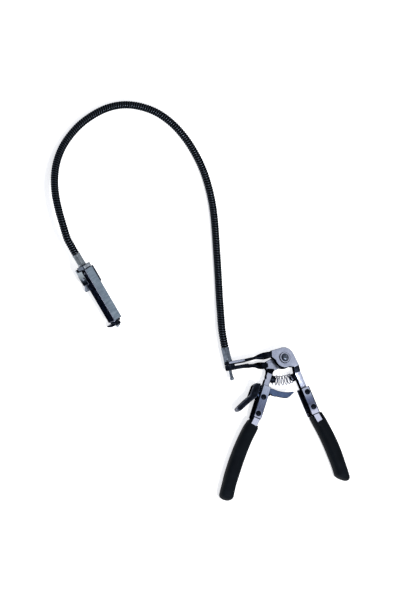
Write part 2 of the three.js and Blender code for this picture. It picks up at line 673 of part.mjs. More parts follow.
const CAP_PIN = { x: 4.6, z: 3, radius: 1 };
const BRACKET_RIVET = { x: 11, z: -3.4, radius: 1.2 };
const acrossHead = (radius, [start, end], x, z, sides = 12) =>
  new THREE.CylinderGeometry(radius, radius, end - start, sides).translate(x, (start + end) / 2, z);
const capPinHole = () => acrossHead(CAP_PIN.radius + GAP, [-12, 12], CAP_PIN.x, CAP_PIN.z);
const bracketRivetHoles = () => {
  const { x, z, radius } = BRACKET_RIVET;
  return [[-12, -3], [3, 12]].map((span) => acrossHead(radius + GAP, span, x, z));
};

const INNER_HALF = CHANNEL.halfWidth - CHANNEL.wall - GAP;
const INNER_TOP = CHANNEL.halfDepth - CHANNEL.wall - GAP;
const TONGUE_END = 8; // how far the end cap's tongue reaches into the channel
const wireBore = (span, radius = WIRE_RADIUS + GAP) => rodX(radius, span, 0, WIRE_LEVEL, 12);

function headEndCap() {
  const shape = new THREE.Shape();
  const [halfWidth, low, high, roundness] = [6.9, CAP_LOW, 7.9, 2.4];
  shape.absarc(high - roundness, halfWidth - roundness, roundness, 0, radians(90));
  shape.absarc(low + roundness, halfWidth - roundness, roundness, radians(90), radians(180));
  shape.absarc(low + roundness, roundness - halfWidth, roundness, radians(180), radians(270));
  shape.absarc(high - roundness, roundness - halfWidth, roundness, radians(270), radians(360));
  const disc = plate(shape, CAP).rotateY(-Math.PI / 2).translate(CAP[0] + CAP[1], 0, 0);
  const tongue = box([CAP[1] - 0.5, -INNER_HALF, -7.2], [TONGUE_END, INNER_HALF, INNER_TOP]);
  return cut(joined(disc, tongue), wireBore([-9, 3], 3 + GAP), wireBore([-9, 12], 1.6), capPinHole());
}

node("head_channel", headChannel(), blueSteel, head);
node("head_end_cap", headEndCap(), blackOxide, head);
node("end_cap_pin", acrossHead(CAP_PIN.radius, [-6.4, 6.4], CAP_PIN.x, CAP_PIN.z), zincSteel, head);
node("head_ferrule", crimpFerrule(FERRULE_LENGTH, FERRULE_LENGTH + 7)
  .rotateZ(Math.PI / 2)
  .translate(HEAD_FERRULE_START, 0, WIRE_LEVEL), zincSteel, head);

// fixed jaw: a saddle round the channel's open side with a lug for the swivelling face
const SADDLE = { start: 0.4, end: 20, bottom: -11.5, cheekTop: 1.2, cheek: 1.5 };
const SADDLE_TOE = -3.5; // its floor runs on under the end cap
const TALL_CHEEK_END = 24; // the far cheek stands as high as the web and runs on a little
const SWIVEL_LEVEL = -16;
const LUG = [6, 20];
function fixedJawBracket() {
  const { start, end, bottom, cheekTop, cheek } = SADDLE;
  const outer = CHANNEL.halfWidth + GAP + cheek;
  const saddle = cut(
    box([start, -outer, bottom], [end, outer, cheekTop]),
    box([start - 1, -outer + cheek, -CHANNEL.halfDepth - GAP], [end + 1, outer - cheek, cheekTop + 1]),
  );
  const toe = box([SADDLE_TOE, -outer, bottom], [start + 1, outer, CAP_LOW - GAP]);
  const inside = CHANNEL.halfWidth + GAP;
  const tallCheek = box([start, inside, cheekTop - 4], [TALL_CHEEK_END, outer, CHANNEL.halfDepth]);
  const lug = joined(
    box([LUG[0], -4.8, SWIVEL_LEVEL], [LUG[1], 4.8, bottom + 1]),
    rodX(4.8, LUG, 0, SWIVEL_LEVEL, 24),
  );
  return cut(joined(saddle, toe, tallCheek, lug), rodX(2 + GAP, [0, 30], 0, SWIVEL_LEVEL), ...bracketRivetHoles());
}
node("fixed_jaw_bracket", fixedJawBracket(), blackOxide, head);

for (const side of [-1, 1]) {
  const name = side < 0 ? "bracket_rivet_left" : "bracket_rivet_right";
  const { x, z, radius } = BRACKET_RIVET;
  const outer = CHANNEL.halfWidth + GAP + SADDLE.cheek;
  const shank = acrossHead(radius, side < 0 ? [-outer - 0.8, -4.9] : [4.9, outer + 0.8], x, z);
  const rivetHead = acrossHead(2.1, side < 0 ? [-outer - 1.1, -outer - GAP] : [outer + GAP, outer + 1.1], x, z, 16);
  node(name, joined(shank, rivetHead), zincSteel, head);
}

// swivelling face of the fixed jaw: a cone on a pin, with a groove for the clamp's ear
function swivelJaw() {
  const profile = [
    [0, 3.4], [2, 3.4], [2, 20.3], [4.2, 20.3], [4.2, 22.4], [6.5, 26.6], [6.5, JAW_FACE], [0, JAW_FACE],
  ];
  const body = turned(profile, 28).rotateY(Math.PI / 2).translate(0, 0, SWIVEL_LEVEL);
  const groove = box([JAW_FACE - 1.4, -8, SWIVEL_LEVEL - 0.9], [JAW_FACE + 1, 8, SWIVEL_LEVEL + 0.9]);
  const clipGroove = cut(
    rodX(3, [4.1, 5.5], 0, SWIVEL_LEVEL, 16),
    rodX(1.5, [3, 7], 0, SWIVEL_LEVEL, 16),
  );
  return cut(body, groove, clipGroove);
}
node("swivel_jaw", swivelJaw(), zincSteel, head);
node("swivel_clip", cut(
  rodX(3.5, [4.4, 5.2], 0, SWIVEL_LEVEL, 16),
  rodX(1.8, [3, 7], 0, SWIVEL_LEVEL, 16),
  box([3, -1.2, SWIVEL_LEVEL - 6], [7, 1.2, SWIVEL_LEVEL]),
), springSteel, head);

// moving jaw: a slider in the channel and a hooked foot below its open side
const SLIDER = [62, FOOT_FACE - GAP];
const FOOT_END = 85.2;
const SCREW = { z: 2.6, radius: 1.3 };
function jawSlider() {
  const block = box([SLIDER[0], -INNER_HALF, -7.6], [SLIDER[1], INNER_HALF, INNER_TOP]);
  return cut(block, wireBore([60, 90]), rodX(SCREW.radius + GAP, [74, 90], 0, SCREW.z, 12));
}
const FOOT_BOTTOM = -17.1;
const HEAD_WIRE_START = -12;
function movingJawFoot() {
  const side = (outline, half) => plate(outline, [-half, half]).rotateX(Math.PI / 2);
  const block = (top, bottom) => [[FOOT_FACE, top], [FOOT_END, top], [FOOT_END, bottom], [FOOT_FACE, bottom]];
  const stem = joined(side(block(5.2, 0), 2.5), side(block(0.4, -9), 3.6));
  const lip = side([[FOOT_FACE, -8.2], [FOOT_END, -8.2], [FOOT_END - 0.6, -11], [FOOT_FACE + 1.7, FOOT_BOTTOM],
    [FOOT_FACE, FOOT_BOTTOM]], 5.5);
  return cut(joined(stem, lip), wireBore([60, 90]), rodX(SCREW.radius + GAP, [74, 90], 0, SCREW.z, 12));
}
node("jaw_slider", jawSlider(), blackOxide, head);
node("moving_jaw_foot", movingJawFoot(), blackOxide, head);
node("foot_screw", joined(
  rodX(SCREW.radius, [74.5, FOOT_END + 0.6], 0, SCREW.z, 12),
  rodX(2.3, [FOOT_END + GAP, FOOT_END + 1.7], 0, SCREW.z, 6),
), zincSteel, head);
node("head_wire", wireBore([HEAD_WIRE_START, FOOT_END], WIRE_RADIUS), springSteel, head);
node("wire_nipple", rodX(2.1, [FOOT_END + GAP, FOOT_END + 3.4], 0, WIRE_LEVEL, 16), zincSteel, head);

const RETURN_SPRING = { wire: 0.45, radius: 2.9, turns: 14 };
const returnLine = new THREE.LineCurve3(
  new THREE.Vector3(TONGUE_END + GAP + RETURN_SPRING.wire, 0, WIRE_LEVEL),
  new THREE.Vector3(SLIDER[0] - GAP - RETURN_SPRING.wire, 0, WIRE_LEVEL),
);
node("return_spring", tube(new Winding(returnLine, RETURN_SPRING.radius, RETURN_SPRING.turns),
  RETURN_SPRING.wire, 5, 150), springSteel, head);

export default pliers;
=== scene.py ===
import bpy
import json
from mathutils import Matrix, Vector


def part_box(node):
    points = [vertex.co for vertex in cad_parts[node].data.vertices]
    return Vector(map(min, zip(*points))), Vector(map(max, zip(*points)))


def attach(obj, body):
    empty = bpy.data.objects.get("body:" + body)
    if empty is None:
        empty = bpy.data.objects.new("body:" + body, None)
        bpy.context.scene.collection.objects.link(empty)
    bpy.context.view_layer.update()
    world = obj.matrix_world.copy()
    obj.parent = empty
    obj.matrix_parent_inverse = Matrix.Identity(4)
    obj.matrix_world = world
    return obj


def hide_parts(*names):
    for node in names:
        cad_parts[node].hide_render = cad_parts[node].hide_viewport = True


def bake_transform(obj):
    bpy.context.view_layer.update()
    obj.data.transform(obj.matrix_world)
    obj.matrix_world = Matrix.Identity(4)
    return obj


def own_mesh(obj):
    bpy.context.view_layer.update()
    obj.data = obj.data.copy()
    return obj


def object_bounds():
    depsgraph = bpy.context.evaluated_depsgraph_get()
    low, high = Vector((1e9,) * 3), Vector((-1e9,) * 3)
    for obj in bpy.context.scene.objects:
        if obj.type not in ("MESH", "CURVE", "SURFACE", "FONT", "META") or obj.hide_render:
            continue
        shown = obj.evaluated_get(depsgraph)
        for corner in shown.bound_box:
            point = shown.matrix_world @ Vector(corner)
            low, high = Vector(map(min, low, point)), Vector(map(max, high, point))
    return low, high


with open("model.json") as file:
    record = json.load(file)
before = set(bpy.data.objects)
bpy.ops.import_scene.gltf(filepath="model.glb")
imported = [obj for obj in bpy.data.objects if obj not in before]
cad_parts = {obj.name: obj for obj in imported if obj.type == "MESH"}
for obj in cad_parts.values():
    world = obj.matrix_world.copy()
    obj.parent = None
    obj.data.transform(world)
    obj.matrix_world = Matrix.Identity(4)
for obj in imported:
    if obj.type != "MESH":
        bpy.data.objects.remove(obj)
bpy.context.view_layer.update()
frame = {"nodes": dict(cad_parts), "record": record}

# Remote-action hose clamp pliers lying on their back: +Z runs up the pivot, -Y runs down between
# the handles. Sizes are in millimetres until a mesh is made, and every mesh is in metres.
import json
import math

import bmesh
import bpy
from mathutils import Euler, Matrix, Vector

MM = 0.001
GAP = 0.3   # clearance between neighbouring pieces
MID = 10.0  # height of the plane that both halves share
NODES = frame["nodes"]
BODY_OF = {name: body for body, names in frame["record"]["behaviour"]["bodies"].items() for name in names}

# ---- where things are ------------------------------------------------------------------------
RIGHT = {"side": 1, "angle": 24.3, "offset": 10.3, "bend": 84.5}
LEFT = {"side": -1, "angle": -18.0, "offset": 12.2, "bend": 92.5}
BEND_ANGLE = 8.6    # how far a shell turns outward into its grip
NECK_LENGTH = 40.0  # the part of the shell that the grip hides

CABLE_FRAME = Matrix.Translation((-82.2, 8.5, MID)) @ Matrix.Rotation(math.radians(13.4), 4, "Z")
HEAD_FRAME = Matrix.Translation((-284.3, 97.5, 24.4)) @ Euler(
    (math.radians(-10), math.radians(4.5), math.radians(-55.4)), "XYZ").to_matrix().to_4x4()
HEAD_ALONG, HEAD_ACROSS, HEAD_UP = (HEAD_FRAME.to_3x3().col[i].copy() for i in range(3))
WIRE_LEVEL = -2.0
SWIVEL_LEVEL = -16.0


def handle_frame(handle):
    """Turns a handle's own frame, which runs down -Y, into the tool's."""
    return Matrix.Rotation(math.radians(handle["angle"]), 4, "Z")


def on_handle(handle, down, out, height=MID):
    """A point on a handle: down its length, outward from its middle line's foot, and its height."""
    return handle_frame(handle) @ Vector((handle["side"] * out, -down, height))


# ---- adding nodes, finishing pieces ----------------------------------------------------------
def add(tree, kind, inputs=(), **settings):
    """Adds a node. Settings are its own fields, and an input is a value or another node's output."""
    made = tree.nodes.new(kind)
    for field, value in settings.items():
        setattr(made, field, value)
    for socket, value in dict(inputs).items():
        if isinstance(value, bpy.types.NodeSocket):
            tree.links.new(value, made.inputs[socket])
        else:
            made.inputs[socket].default_value = value
    return made


def linear(code):
    """An sRGB hex colour as linear RGBA."""
    parts = [int(code[i:i + 2], 16) / 255 for i in (1, 3, 5)]
    return [c / 12.92 if c <= 0.04045 else ((c + 0.055) / 1.055) ** 2.4 for c in parts] + [1.0]


def new_object(name, mesh):
    made = bpy.data.objects.new(name, mesh)
    bpy.context.scene.collection.objects.link(made)
    return made


def path_length(points):
    return sum((b - a).length for a, b in zip(points, points[1:]))


def circle(sides):
    """The cosine and sine at each corner of a ring."""
    return [(math.cos(2 * math.pi * i / sides), math.sin(2 * math.pi * i / sides)) for i in range(sides)]


def boxy(value, squareness):
    """Pushes a cosine or a sine outward, so that a ring of them turns from round towards square."""
    return math.copysign(abs(value) ** squareness, value)


def eased(share):
    """A share held between 0 and 1 that starts and ends gently."""
    share = min(max(share, 0), 1)
    return share * share * (3 - 2 * share)


def smoothed(mesh, angle=35):
    mesh.polygons.foreach_set("use_smooth", [True] * len(mesh.polygons))
    mesh.set_sharp_from_angle(angle=math.radians(angle))
    return mesh


def mesh_piece(name, points, faces, materials, place=None):
    """An object from points in millimetres, carried by place, with its normals facing out."""
    shape = bmesh.new()
    carry = place or Matrix.Identity(4)
    verts = [shape.verts.new((carry @ Vector(p)) * MM) for p in points]
    for face in faces:
        shape.faces.new([verts[i] for i in face])
    bmesh.ops.recalc_face_normals(shape, faces=shape.faces)
    mesh = bpy.data.meshes.new(name)
    shape.to_mesh(mesh)
    shape.free()
    for material in materials:
        mesh.materials.append(material)
    return new_object(name, smoothed(mesh))


def settle(piece):
    """Leaves the piece as the plain mesh that its modifiers make."""
    evaluated = piece.evaluated_get(bpy.context.evaluated_depsgraph_get())
    old, piece.data = piece.data, bpy.data.meshes.new_from_object(evaluated)
    piece.modifiers.clear()
    bpy.data.meshes.remove(old)
    return piece


def cut_from(piece, tool):
    """Cuts the tool from the piece and removes the tool."""
    change = piece.modifiers.new("cut", "BOOLEAN")
    change.operation, change.object, change.solver = "DIFFERENCE", tool, "EXACT"
    settle(piece)
    bpy.data.objects.remove(tool)
    return piece


def bevelled(piece, width, segments=3, angle=30, edge_slot=-1):
    change = piece.modifiers.new("edges", "BEVEL")
    change.width, change.segments, change.limit_method = width * MM, segments, "ANGLE"
    change.angle_limit, change.harden_normals = math.radians(angle), True
    change.use_clamp_overlap, change.material = False, edge_slot
    change.miter_outer = "MITER_ARC"
    return settle(piece)


def place_piece(piece, slot, *nodes, body=None):
    """The piece stands for these nodes and rides with them. The slot is not used."""
    if nodes:
        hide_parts(*nodes)
    if body != "blend":
        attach(piece, body or BODY_OF[nodes[0]])
    return piece


# ---- finishes --------------------------------------------------------------------------------
def surface(name, **sockets):
    """A material with one Principled shader, whose even values sit on its own sockets, and its tree."""
    material = bpy.data.materials.new(name)
    material.use_nodes = True
    tree = material.node_tree
    tree.nodes.clear()
    shader = add(tree, "ShaderNodeBsdfPrincipled", {k.replace("_", " "): v for k, v in sockets.items()})
    add(tree, "ShaderNodeOutputMaterial", {"Surface": shader.outputs["BSDF"]})
    return material, tree


def coated(material, layers, rough=None, relief=None):
    """Colours a material in layers and joins what else varies. Each layer is (share, pattern, stops): how
    much it hides of the layer under it, and the hex colours at levels of its pattern. Rough is (pattern,
    first and last roughness, first and last level), and relief is (pattern, real height in mm, strength)."""
    tree = material.node_tree
    ends = tree.nodes["Principled BSDF"].inputs
    under = None
    for share, pattern, stops in layers:
        tone = add(tree, "ShaderNodeValToRGB", {"Fac": pattern})
        while len(tone.color_ramp.elements) < len(stops):
            tone.color_ramp.elements.new(0.5)
        for element, (level, code) in zip(tone.color_ramp.elements, stops):
            element.position, element.color = level, linear(code)
        colour = tone.outputs["Color"]
        if under:
            colour = add(tree, "ShaderNodeMix", {0: share, 6: under, 7: colour}, data_type="RGBA").outputs[2]
        under = colour
    tree.links.new(under, ends["Base Color"])
    if rough:
        evened = add(tree, "ShaderNodeMapRange",
                     dict(zip(("Value", "To Min", "To Max", "From Min", "From Max"), rough)))
        tree.links.new(evened.outputs["Result"], ends["Roughness"])
    if relief:
        pattern, height, strength = relief
        raised = add(tree, "ShaderNodeBump", {"Height": pattern, "Distance": height * MM, "Strength": strength})
        tree.links.new(raised.outputs["Normal"], ends["Normal"])
    return material


def place_of(tree, scale=(1, 1, 1), turn=0.0):
    """Object coordinates, turned about Z by degrees and stretched, so that a grain can lie along a piece."""
    where = add(tree, "ShaderNodeTexCoord")
    turned_round = add(tree, "ShaderNodeMapping", {"Vector": where.outputs["Object"],
                       "Rotation": (0, 0, math.radians(turn))}, vector_type="POINT")
    return add(tree, "ShaderNodeVectorMath", {0: turned_round.outputs["Vector"], 1: scale},
               operation="MULTIPLY").outputs["Vector"]


def along_axes(tree, axes, scale):
    """Object coordinates measured along three given directions, each stretched by its own scale."""
    where = add(tree, "ShaderNodeTexCoord").outputs["Object"]
    measured = [add(tree, "ShaderNodeVectorMath", {0: where, 1: Vector(axis) * size},
                    operation="DOT_PRODUCT").outputs["Value"] for axis, size in zip(axes, scale)]
    return add(tree, "ShaderNodeCombineXYZ", dict(zip(("X", "Y", "Z"), measured))).outputs["Vector"]


def clouds(tree, scale, detail, rough, where=None):
    """A cloudy pattern, with the scale's number of clouds to the metre, in the piece's own coordinates."""
    return add(tree, "ShaderNodeTexNoise", {"Vector": where or place_of(tree), "Scale": scale, "Detail": detail,
               "Roughness": rough}, noise_dimensions="3D").outputs["Fac"]


def plated_steel_for_lit_flats():
    """Nickel-plated steel, given to the faces that face the lights as painted reflection: a pale cool grey
    with a lavender cast, cloudy at the scale of a fingertip, with a fine grain from the belt. The belt's marks
    are drawn at 0.8 mm, coarser than real."""
    material, tree = surface("nickel_plated_ground_steel", Metallic=1.0)
    cloud = clouds(tree, 55, 4, 0.6)
    belt = clouds(tree, 1.0, 3, 0.7, place_of(tree, (1250, 140, 400), 20))
    return coated(material, [(1, cloud, [(0.25, "#9ca5bd"), (0.5, "#adb5cc"), (0.75, "#c0c6db")]),
                             (0.22, belt, [(0.3, "#6d7690"), (0.7, "#e6e9f5")])],
                  (belt, 0.2, 0.33, 0.25, 0.75), (belt, 0.02, 0.5))


def shell_flat_with_painted_reflection(name, handle, stops):
    """Plated sheet steel with painted reflection: bands of light and dark blue that fade in and out down the
    handle, standing in for the studio mirrored in the slightly curved shell. Stops are (share of the 30 to
    110 mm stretch, colour)."""
    material, tree = surface(name, Metallic=1.0)
    turn = handle_frame(handle).to_3x3()
    frame_axes = (turn @ Vector((0, -1, 0)), turn @ Vector((handle["side"], 0, 0)), Vector((0, 0, 1)))
    down = add(tree, "ShaderNodeSeparateXYZ", {"Vector": along_axes(tree, frame_axes, (1, 1, 1))})
    cloud = clouds(tree, 90, 3, 0.6)
    share = add(tree, "ShaderNodeMapRange", {"Value": down.outputs["X"], "From Min": 30 * MM,
                "From Max": 110 * MM}).outputs["Result"]
    painted_light_level = add(tree, "ShaderNodeMath", {0: cloud, 1: 0.07, 2: share}, operation="MULTIPLY_ADD")
    grain = clouds(tree, 1.0, 3, 0.7, along_axes(tree, frame_axes, (120, 1300, 1300)))
    return coated(material, [(1, painted_light_level.outputs["Value"], stops),
                             (0.18, grain, [(0.3, "#4e5874"), (0.7, "#dfe3f2")])],
                  (grain, 0.22, 0.4, 0.25, 0.75), (grain, 0.015, 0.5))


def black_oxide():
    """Forged and bent steel under hot black oxide: blue-black, oily, slightly mottled where the bath took
    unevenly, with the scale left by the press as low relief. On the plated halves, shells and channel it also
    stands as painted dark reflection on the faces and bevels turned away from the lights."""
    material, tree = surface("black_oxide_steel", Metallic=1.0, Specular_Tint=linear("#4a4f5c"))
    mottle = clouds(tree, 160, 5, 0.65)
    scale_marks = clouds(tree, 900, 3, 0.6)
    stops = [(0.3, "#0b0d12"), (0.55, "#161a23"), (0.8, "#303746")]
    return coated(material, [(1, mottle, stops)], (mottle, 0.3, 0.5, 0.3, 0.7), (scale_marks, 0.03, 0.5))


def painted_edge_highlight():
    """A painted highlight on the rounded edges of the blackened steel: greyer and smoother than the steel."""
    material, tree = surface("rubbed_blackened_edge", Metallic=0.9)
    edge_mottle = clouds(tree, 220, 4, 0.6)
    stops = [(0.35, "#1c1f28"), (0.55, "#3d4352"), (0.75, "#7b8298")]
    return coated(material, [(1, edge_mottle, stops)], (edge_mottle, 0.42, 0.26), (edge_mottle, 0.02, 0.4))


def blued_plate():
    """Heat-blued spring steel: slate blue, satin, with darker smoky patches a few millimetres wide."""
    material, tree = surface("blued_spring_steel", Metallic=1.0)
    smoke = clouds(tree, 130, 4, 0.6)
    grain = clouds(tree, 1.0, 3, 0.7, place_of(tree, (160, 1500, 600)))
    return coated(material, [(1, smoke, [(0.3, "#3a4a69"), (0.55, "#4b5d80"), (0.8, "#62779c")]),
                             (0.25, grain, [(0.3, "#1f2a40"), (0.7, "#8496ba")])],
                  (grain, 0.3, 0.46), (grain, 0.015, 0.5))


def brushed_web():
    """The head's folded steel channel, brushed across its length and blued: grey-blue with fine
    cross strokes. The strokes are drawn 1.1 mm apart, coarser than real, so that they show."""
    material, tree = surface("cross_brushed_blued_steel", Metallic=1.0)
    axes = (HEAD_ALONG, HEAD_ACROSS, HEAD_UP)
    strokes = clouds(tree, 1.0, 4, 0.75, along_axes(tree, axes, (900, 90, 300)))
    cloud = clouds(tree, 70, 3, 0.6)
    return coated(material, [(1, cloud, [(0.3, "#717f8e"), (0.7, "#8a9aa8")]),
                             (0.3, strokes, [(0.34, "#465362"), (0.5, "#8191a0"), (0.66, "#bccad6")])],
                  (strokes, 0.28, 0.5, 0.25, 0.75), (strokes, 0.03, 0.6))


def grey_zinc(name, dark, middle, light, rough=(0.3, 0.46)):
    """Zinc-plated steel, passivated: a soft grey with faint cloudy blotches and small pits."""
    material, tree = surface(name, Metallic=1.0)
    blotch = clouds(tree, 240, 4, 0.6)
    pits = clouds(tree, 1400, 2, 0.5)
    stops = [(0.3, dark), (0.5, middle), (0.72, light)]
    return coated(material, [(1, blotch, stops)], (blotch, rough[1], rough[0], 0.3, 0.7), (pits, 0.02, 0.4))


def cheek_with_painted_shade():
    """The bracket's cheeks: zinc flash, soft grey beside the end cap, which blackens towards the lug as
    painted shade."""
    material, tree = surface("zinc_flashed_cheek", Metallic=1.0, Specular_Tint=linear("#5a606a"))
    along = add(tree, "ShaderNodeSeparateXYZ", {"Vector": along_axes(tree, (HEAD_ALONG,) * 3, (1, 1, 1))})
    blotch = clouds(tree, 260, 4, 0.6)
    start = HEAD_FRAME.translation.dot(HEAD_ALONG) * MM
    share = add(tree, "ShaderNodeMapRange", {"Value": along.outputs["X"], "From Min": start,
                "From Max": start + 22 * MM}).outputs["Result"]
    painted_light_level = add(tree, "ShaderNodeMath", {0: blotch, 1: 0.1, 2: share}, operation="MULTIPLY_ADD")
    stops = [(0.1, "#98a0a6"), (0.45, "#7d858b"), (0.62, "#3a4047"), (0.8, "#14171c")]
    return coated(material, [(1, painted_light_level.outputs["Value"], stops)], (blotch, 0.32, 0.5), (blotch, 0.02, 0.4))


def hose_metal():
    """The gooseneck's wound steel under black enamel: glossy crests, painted shade darkening the grooves, a
    lighter band painted on the crests as their highlight, and a faint random dust tone.
    """
    material, tree = surface("black_enamelled_wound_steel", Metallic=1.0, Specular_Tint=linear("#3c4048"))
    depth = add(tree, "ShaderNodeAttribute", attribute_name="crest").outputs["Fac"]
    dust = clouds(tree, 700, 3, 0.6)
    dirt = add(tree, "ShaderNodeMapRange", {"Value": dust, "From Min": 0.35, "From Max": 0.8, "To Max": 0.3})
    return coated(material, [(1, depth, [(0.0, "#020303"), (0.8, "#0a0c0e"), (0.97, "#3c424b")]),
                             (dirt.outputs["Result"], dust, [(0.0, "#15181d"), (1.0, "#15181d")])],
                  (depth, 0.55, 0.22, 0.4, 1.0), (dust, 0.02, 0.3))


def dipped_vinyl():
    """Plastisol vinyl dipped over the steel: near-black with a navy cast, a soft dull sheen, and the
    low orange peel of a dipped skin, about 1.5 mm across."""
    material, tree = surface("black_plastisol_vinyl", Specular_IOR_Level=0.03)
    peel = clouds(tree, 650, 3, 0.5)
    rubbed = clouds(tree, 45, 4, 0.6)
    stops = [(0.3, "#090c10"), (0.55, "#0d1116"), (0.8, "#161b21")]
    return coated(material, [(1, rubbed, stops)], (rubbed, 0.44, 0.62, 0.3, 0.7), (peel, 0.06, 0.5))


def drawn_wire():
    """Music wire, drawn and oiled: dark grey with draw lines too fine to see, shown as a faint mottle."""
    material, tree = surface("oiled_music_wire", Metallic=1.0)
    mottle = clouds(tree, 500, 3, 0.6)
    stops = [(0.3, "#454a5c"), (0.7, "#767c90")]
    return coated(material, [(1, mottle, stops)], (mottle, 0.24, 0.38), (mottle, 0.01, 0.3))


def stranded_wire():
    """Galvanised wire rope: bright grey strands with grease in the valleys between them."""
    material, tree = surface("greased_wire_rope", Metallic=1.0)
    grease = clouds(tree, 900, 4, 0.6)
    stops = [(0.3, "#4d4f52"), (0.6, "#8c9096"), (0.8, "#b0b4ba")]
    return coated(material, [(1, grease, stops)], (grease, 0.5, 0.28), (grease, 0.02, 0.4))


def pale_board():
    """Matt white display board, lit from behind like a light table, with a barely visible tooth."""
    material, tree = surface("matt_white_board", Roughness=0.9, Specular_IOR_Level=0.2,
                             Emission_Color=linear("#fbfcff"), Emission_Strength=0.6)
    tooth = clouds(tree, 60, 3, 0.5)
    return coated(material, [(1, tooth, [(0.3, "#eeeeee"), (0.7, "#f4f4f4")])])


LIT_FLAT_STEEL = plated_steel_for_lit_flats()
# The shells' light and dark bands down the handle are painted reflection.
RIGHT_FLAT = shell_flat_with_painted_reflection("tempered_right_shell", RIGHT, [
    (0.2, "#bcc4da"), (0.36, "#a9b4cc"), (0.45, "#59658a"), (0.52, "#333c58"), (0.6, "#8e98b4"),
    (0.66, "#dde1f8")])
LEFT_FLAT = shell_flat_with_painted_reflection("tempered_left_shell", LEFT, [
    (0.2, "#bcc5da"), (0.38, "#9ca8c2"), (0.5, "#5d6a8a"), (0.66, "#454f6e"), (0.76, "#8f98b2"),
    (0.82, "#d5daf0")])
BLACK = black_oxide()
EDGE_HIGHLIGHT = painted_edge_highlight()
BLUED = blued_plate()
WEB = brushed_web()
ZINC = grey_zinc("grey_zinc_plate", "#7d848c", "#9aa1aa", "#b9bfc8")
DARK_ZINC = grey_zinc("smoky_zinc_plate", "#565d68", "#6f7784", "#8a919e", (0.34, 0.5))
SMOKED = grey_zinc("smoked_zinc_plate", "#3d444e", "#4f5764", "#6b7483", (0.3, 0.46))
FERRULE = grey_zinc("crimped_zinc_plate", "#6a7377", "#80888f", "#a0a6b0", (0.24, 0.42))
CABLE_ZINC = grey_zinc("handled_zinc_plate", "#4c545e", "#606975", "#7f8794", (0.24, 0.42))
CHEEK = cheek_with_painted_shade()
HOSE = hose_metal()
VINYL = dipped_vinyl()
WIRE = drawn_wire()
ROPE = stranded_wire()


# ---- camera ----------------------------------------------------------------------------------
# The view is from above, leaning towards the handles' ends and the cable's side, through a long lens.
FRAME_HEIGHT = 793.32           # how much of the view's upright is framed
VIEW_MIDDLE = (-105.59, 78.47)  # the frame's middle, right and up from the pivot


def aim_camera():
    right = Vector((0.93402, 0.0, 0.35722))
    up = Vector((-0.07144, 0.97980, 0.18680))
    back = Vector((-0.35, -0.20, 0.91515))
    middle = right * VIEW_MIDDLE[0] + up * VIEW_MIDDLE[1]
    middle -= back * ((middle.z - MID) / back.z)
    camera = bpy.data.objects.new("camera", bpy.data.cameras.new("camera"))
    bpy.context.scene.collection.objects.link(camera)
    camera.data.lens = 500
    camera.data.sensor_width = 36
    distance = FRAME_HEIGHT * camera.data.lens / camera.data.sensor_width
    camera.matrix_world = Matrix.Translation((middle + back * distance) * MM) @ Matrix(
        (right, up, back)).transposed().to_4x4()
    camera.data.clip_start, camera.data.clip_end = 0.1, 60
    bpy.context.scene.camera = camera


aim_camera()


# ---- node trees for what repeats or follows a path -------------------------------------------
FLOAT, COUNT, MATERIAL = "NodeSocketFloat", "NodeSocketInt", "NodeSocketMaterial"


def new_tree(name, **sockets):
    """A Geometry Nodes tree that takes a polyline and named inputs, given as name=(type, default)."""
    tree = bpy.data.node_groups.new(name, "GeometryNodeTree")
    tree.interface.new_socket("Geometry", in_out="INPUT", socket_type="NodeSocketGeometry")
    for socket, (kind, value) in sockets.items():
        made = tree.interface.new_socket(socket.replace("_", " "), in_out="INPUT", socket_type=kind)
        if value is not None:
            made.default_value = value
    tree.interface.new_socket("Geometry", in_out="OUTPUT", socket_type="NodeSocketGeometry")
    return tree, tree.nodes.new("NodeGroupInput")


def end_tree(tree, shape, material):
    """Every tree ends by realising its instances, smoothing its faces and setting its material."""
    real = add(tree, "GeometryNodeRealizeInstances", {"Geometry": shape})
    soft = add(tree, "GeometryNodeSetShadeSmooth", {0: real.outputs[0]})
    done = add(tree, "GeometryNodeSetMaterial", {"Geometry": soft.outputs[0], "Material": material})
    out = tree.nodes.new("NodeGroupOutput")
    tree.links.new(done.outputs["Geometry"], out.inputs[0])


def run_tree(name, tree, points, **values):
    """Runs a tree on a polyline in millimetres, and gives back a plain mesh piece."""
    line = bpy.data.meshes.new(name)
    line.from_pydata([Vector(p) * MM for p in points], [(i, i + 1) for i in range(len(points) - 1)], [])
    piece = new_object(name, line)
    change = piece.modifiers.new("tree", "NODES")
    change.node_group = tree
    for item in tree.interface.items_tree:
        key = item.name.replace(" ", "_")
        if item.in_out == "INPUT" and key in values:
            change[item.identifier] = values[key]
    settle(piece)
    return piece


MATH, VECTOR = "ShaderNodeMath", "ShaderNodeVectorMath"


def result(tree, kind, how, *inputs):
    """What a node gives for one operation on its inputs, in their order."""
    return add(tree, kind, dict(enumerate(inputs)), operation=how).outputs[0]


def resampled(tree, shape, step):
    """The tree's polyline as a curve, with a point at each step."""
    line = add(tree, "GeometryNodeMeshToCurve", {"Mesh": shape})
    return add(tree, "GeometryNodeResampleCurve", {"Curve": line.outputs[0], "Length": step},
               mode="LENGTH").outputs[0]


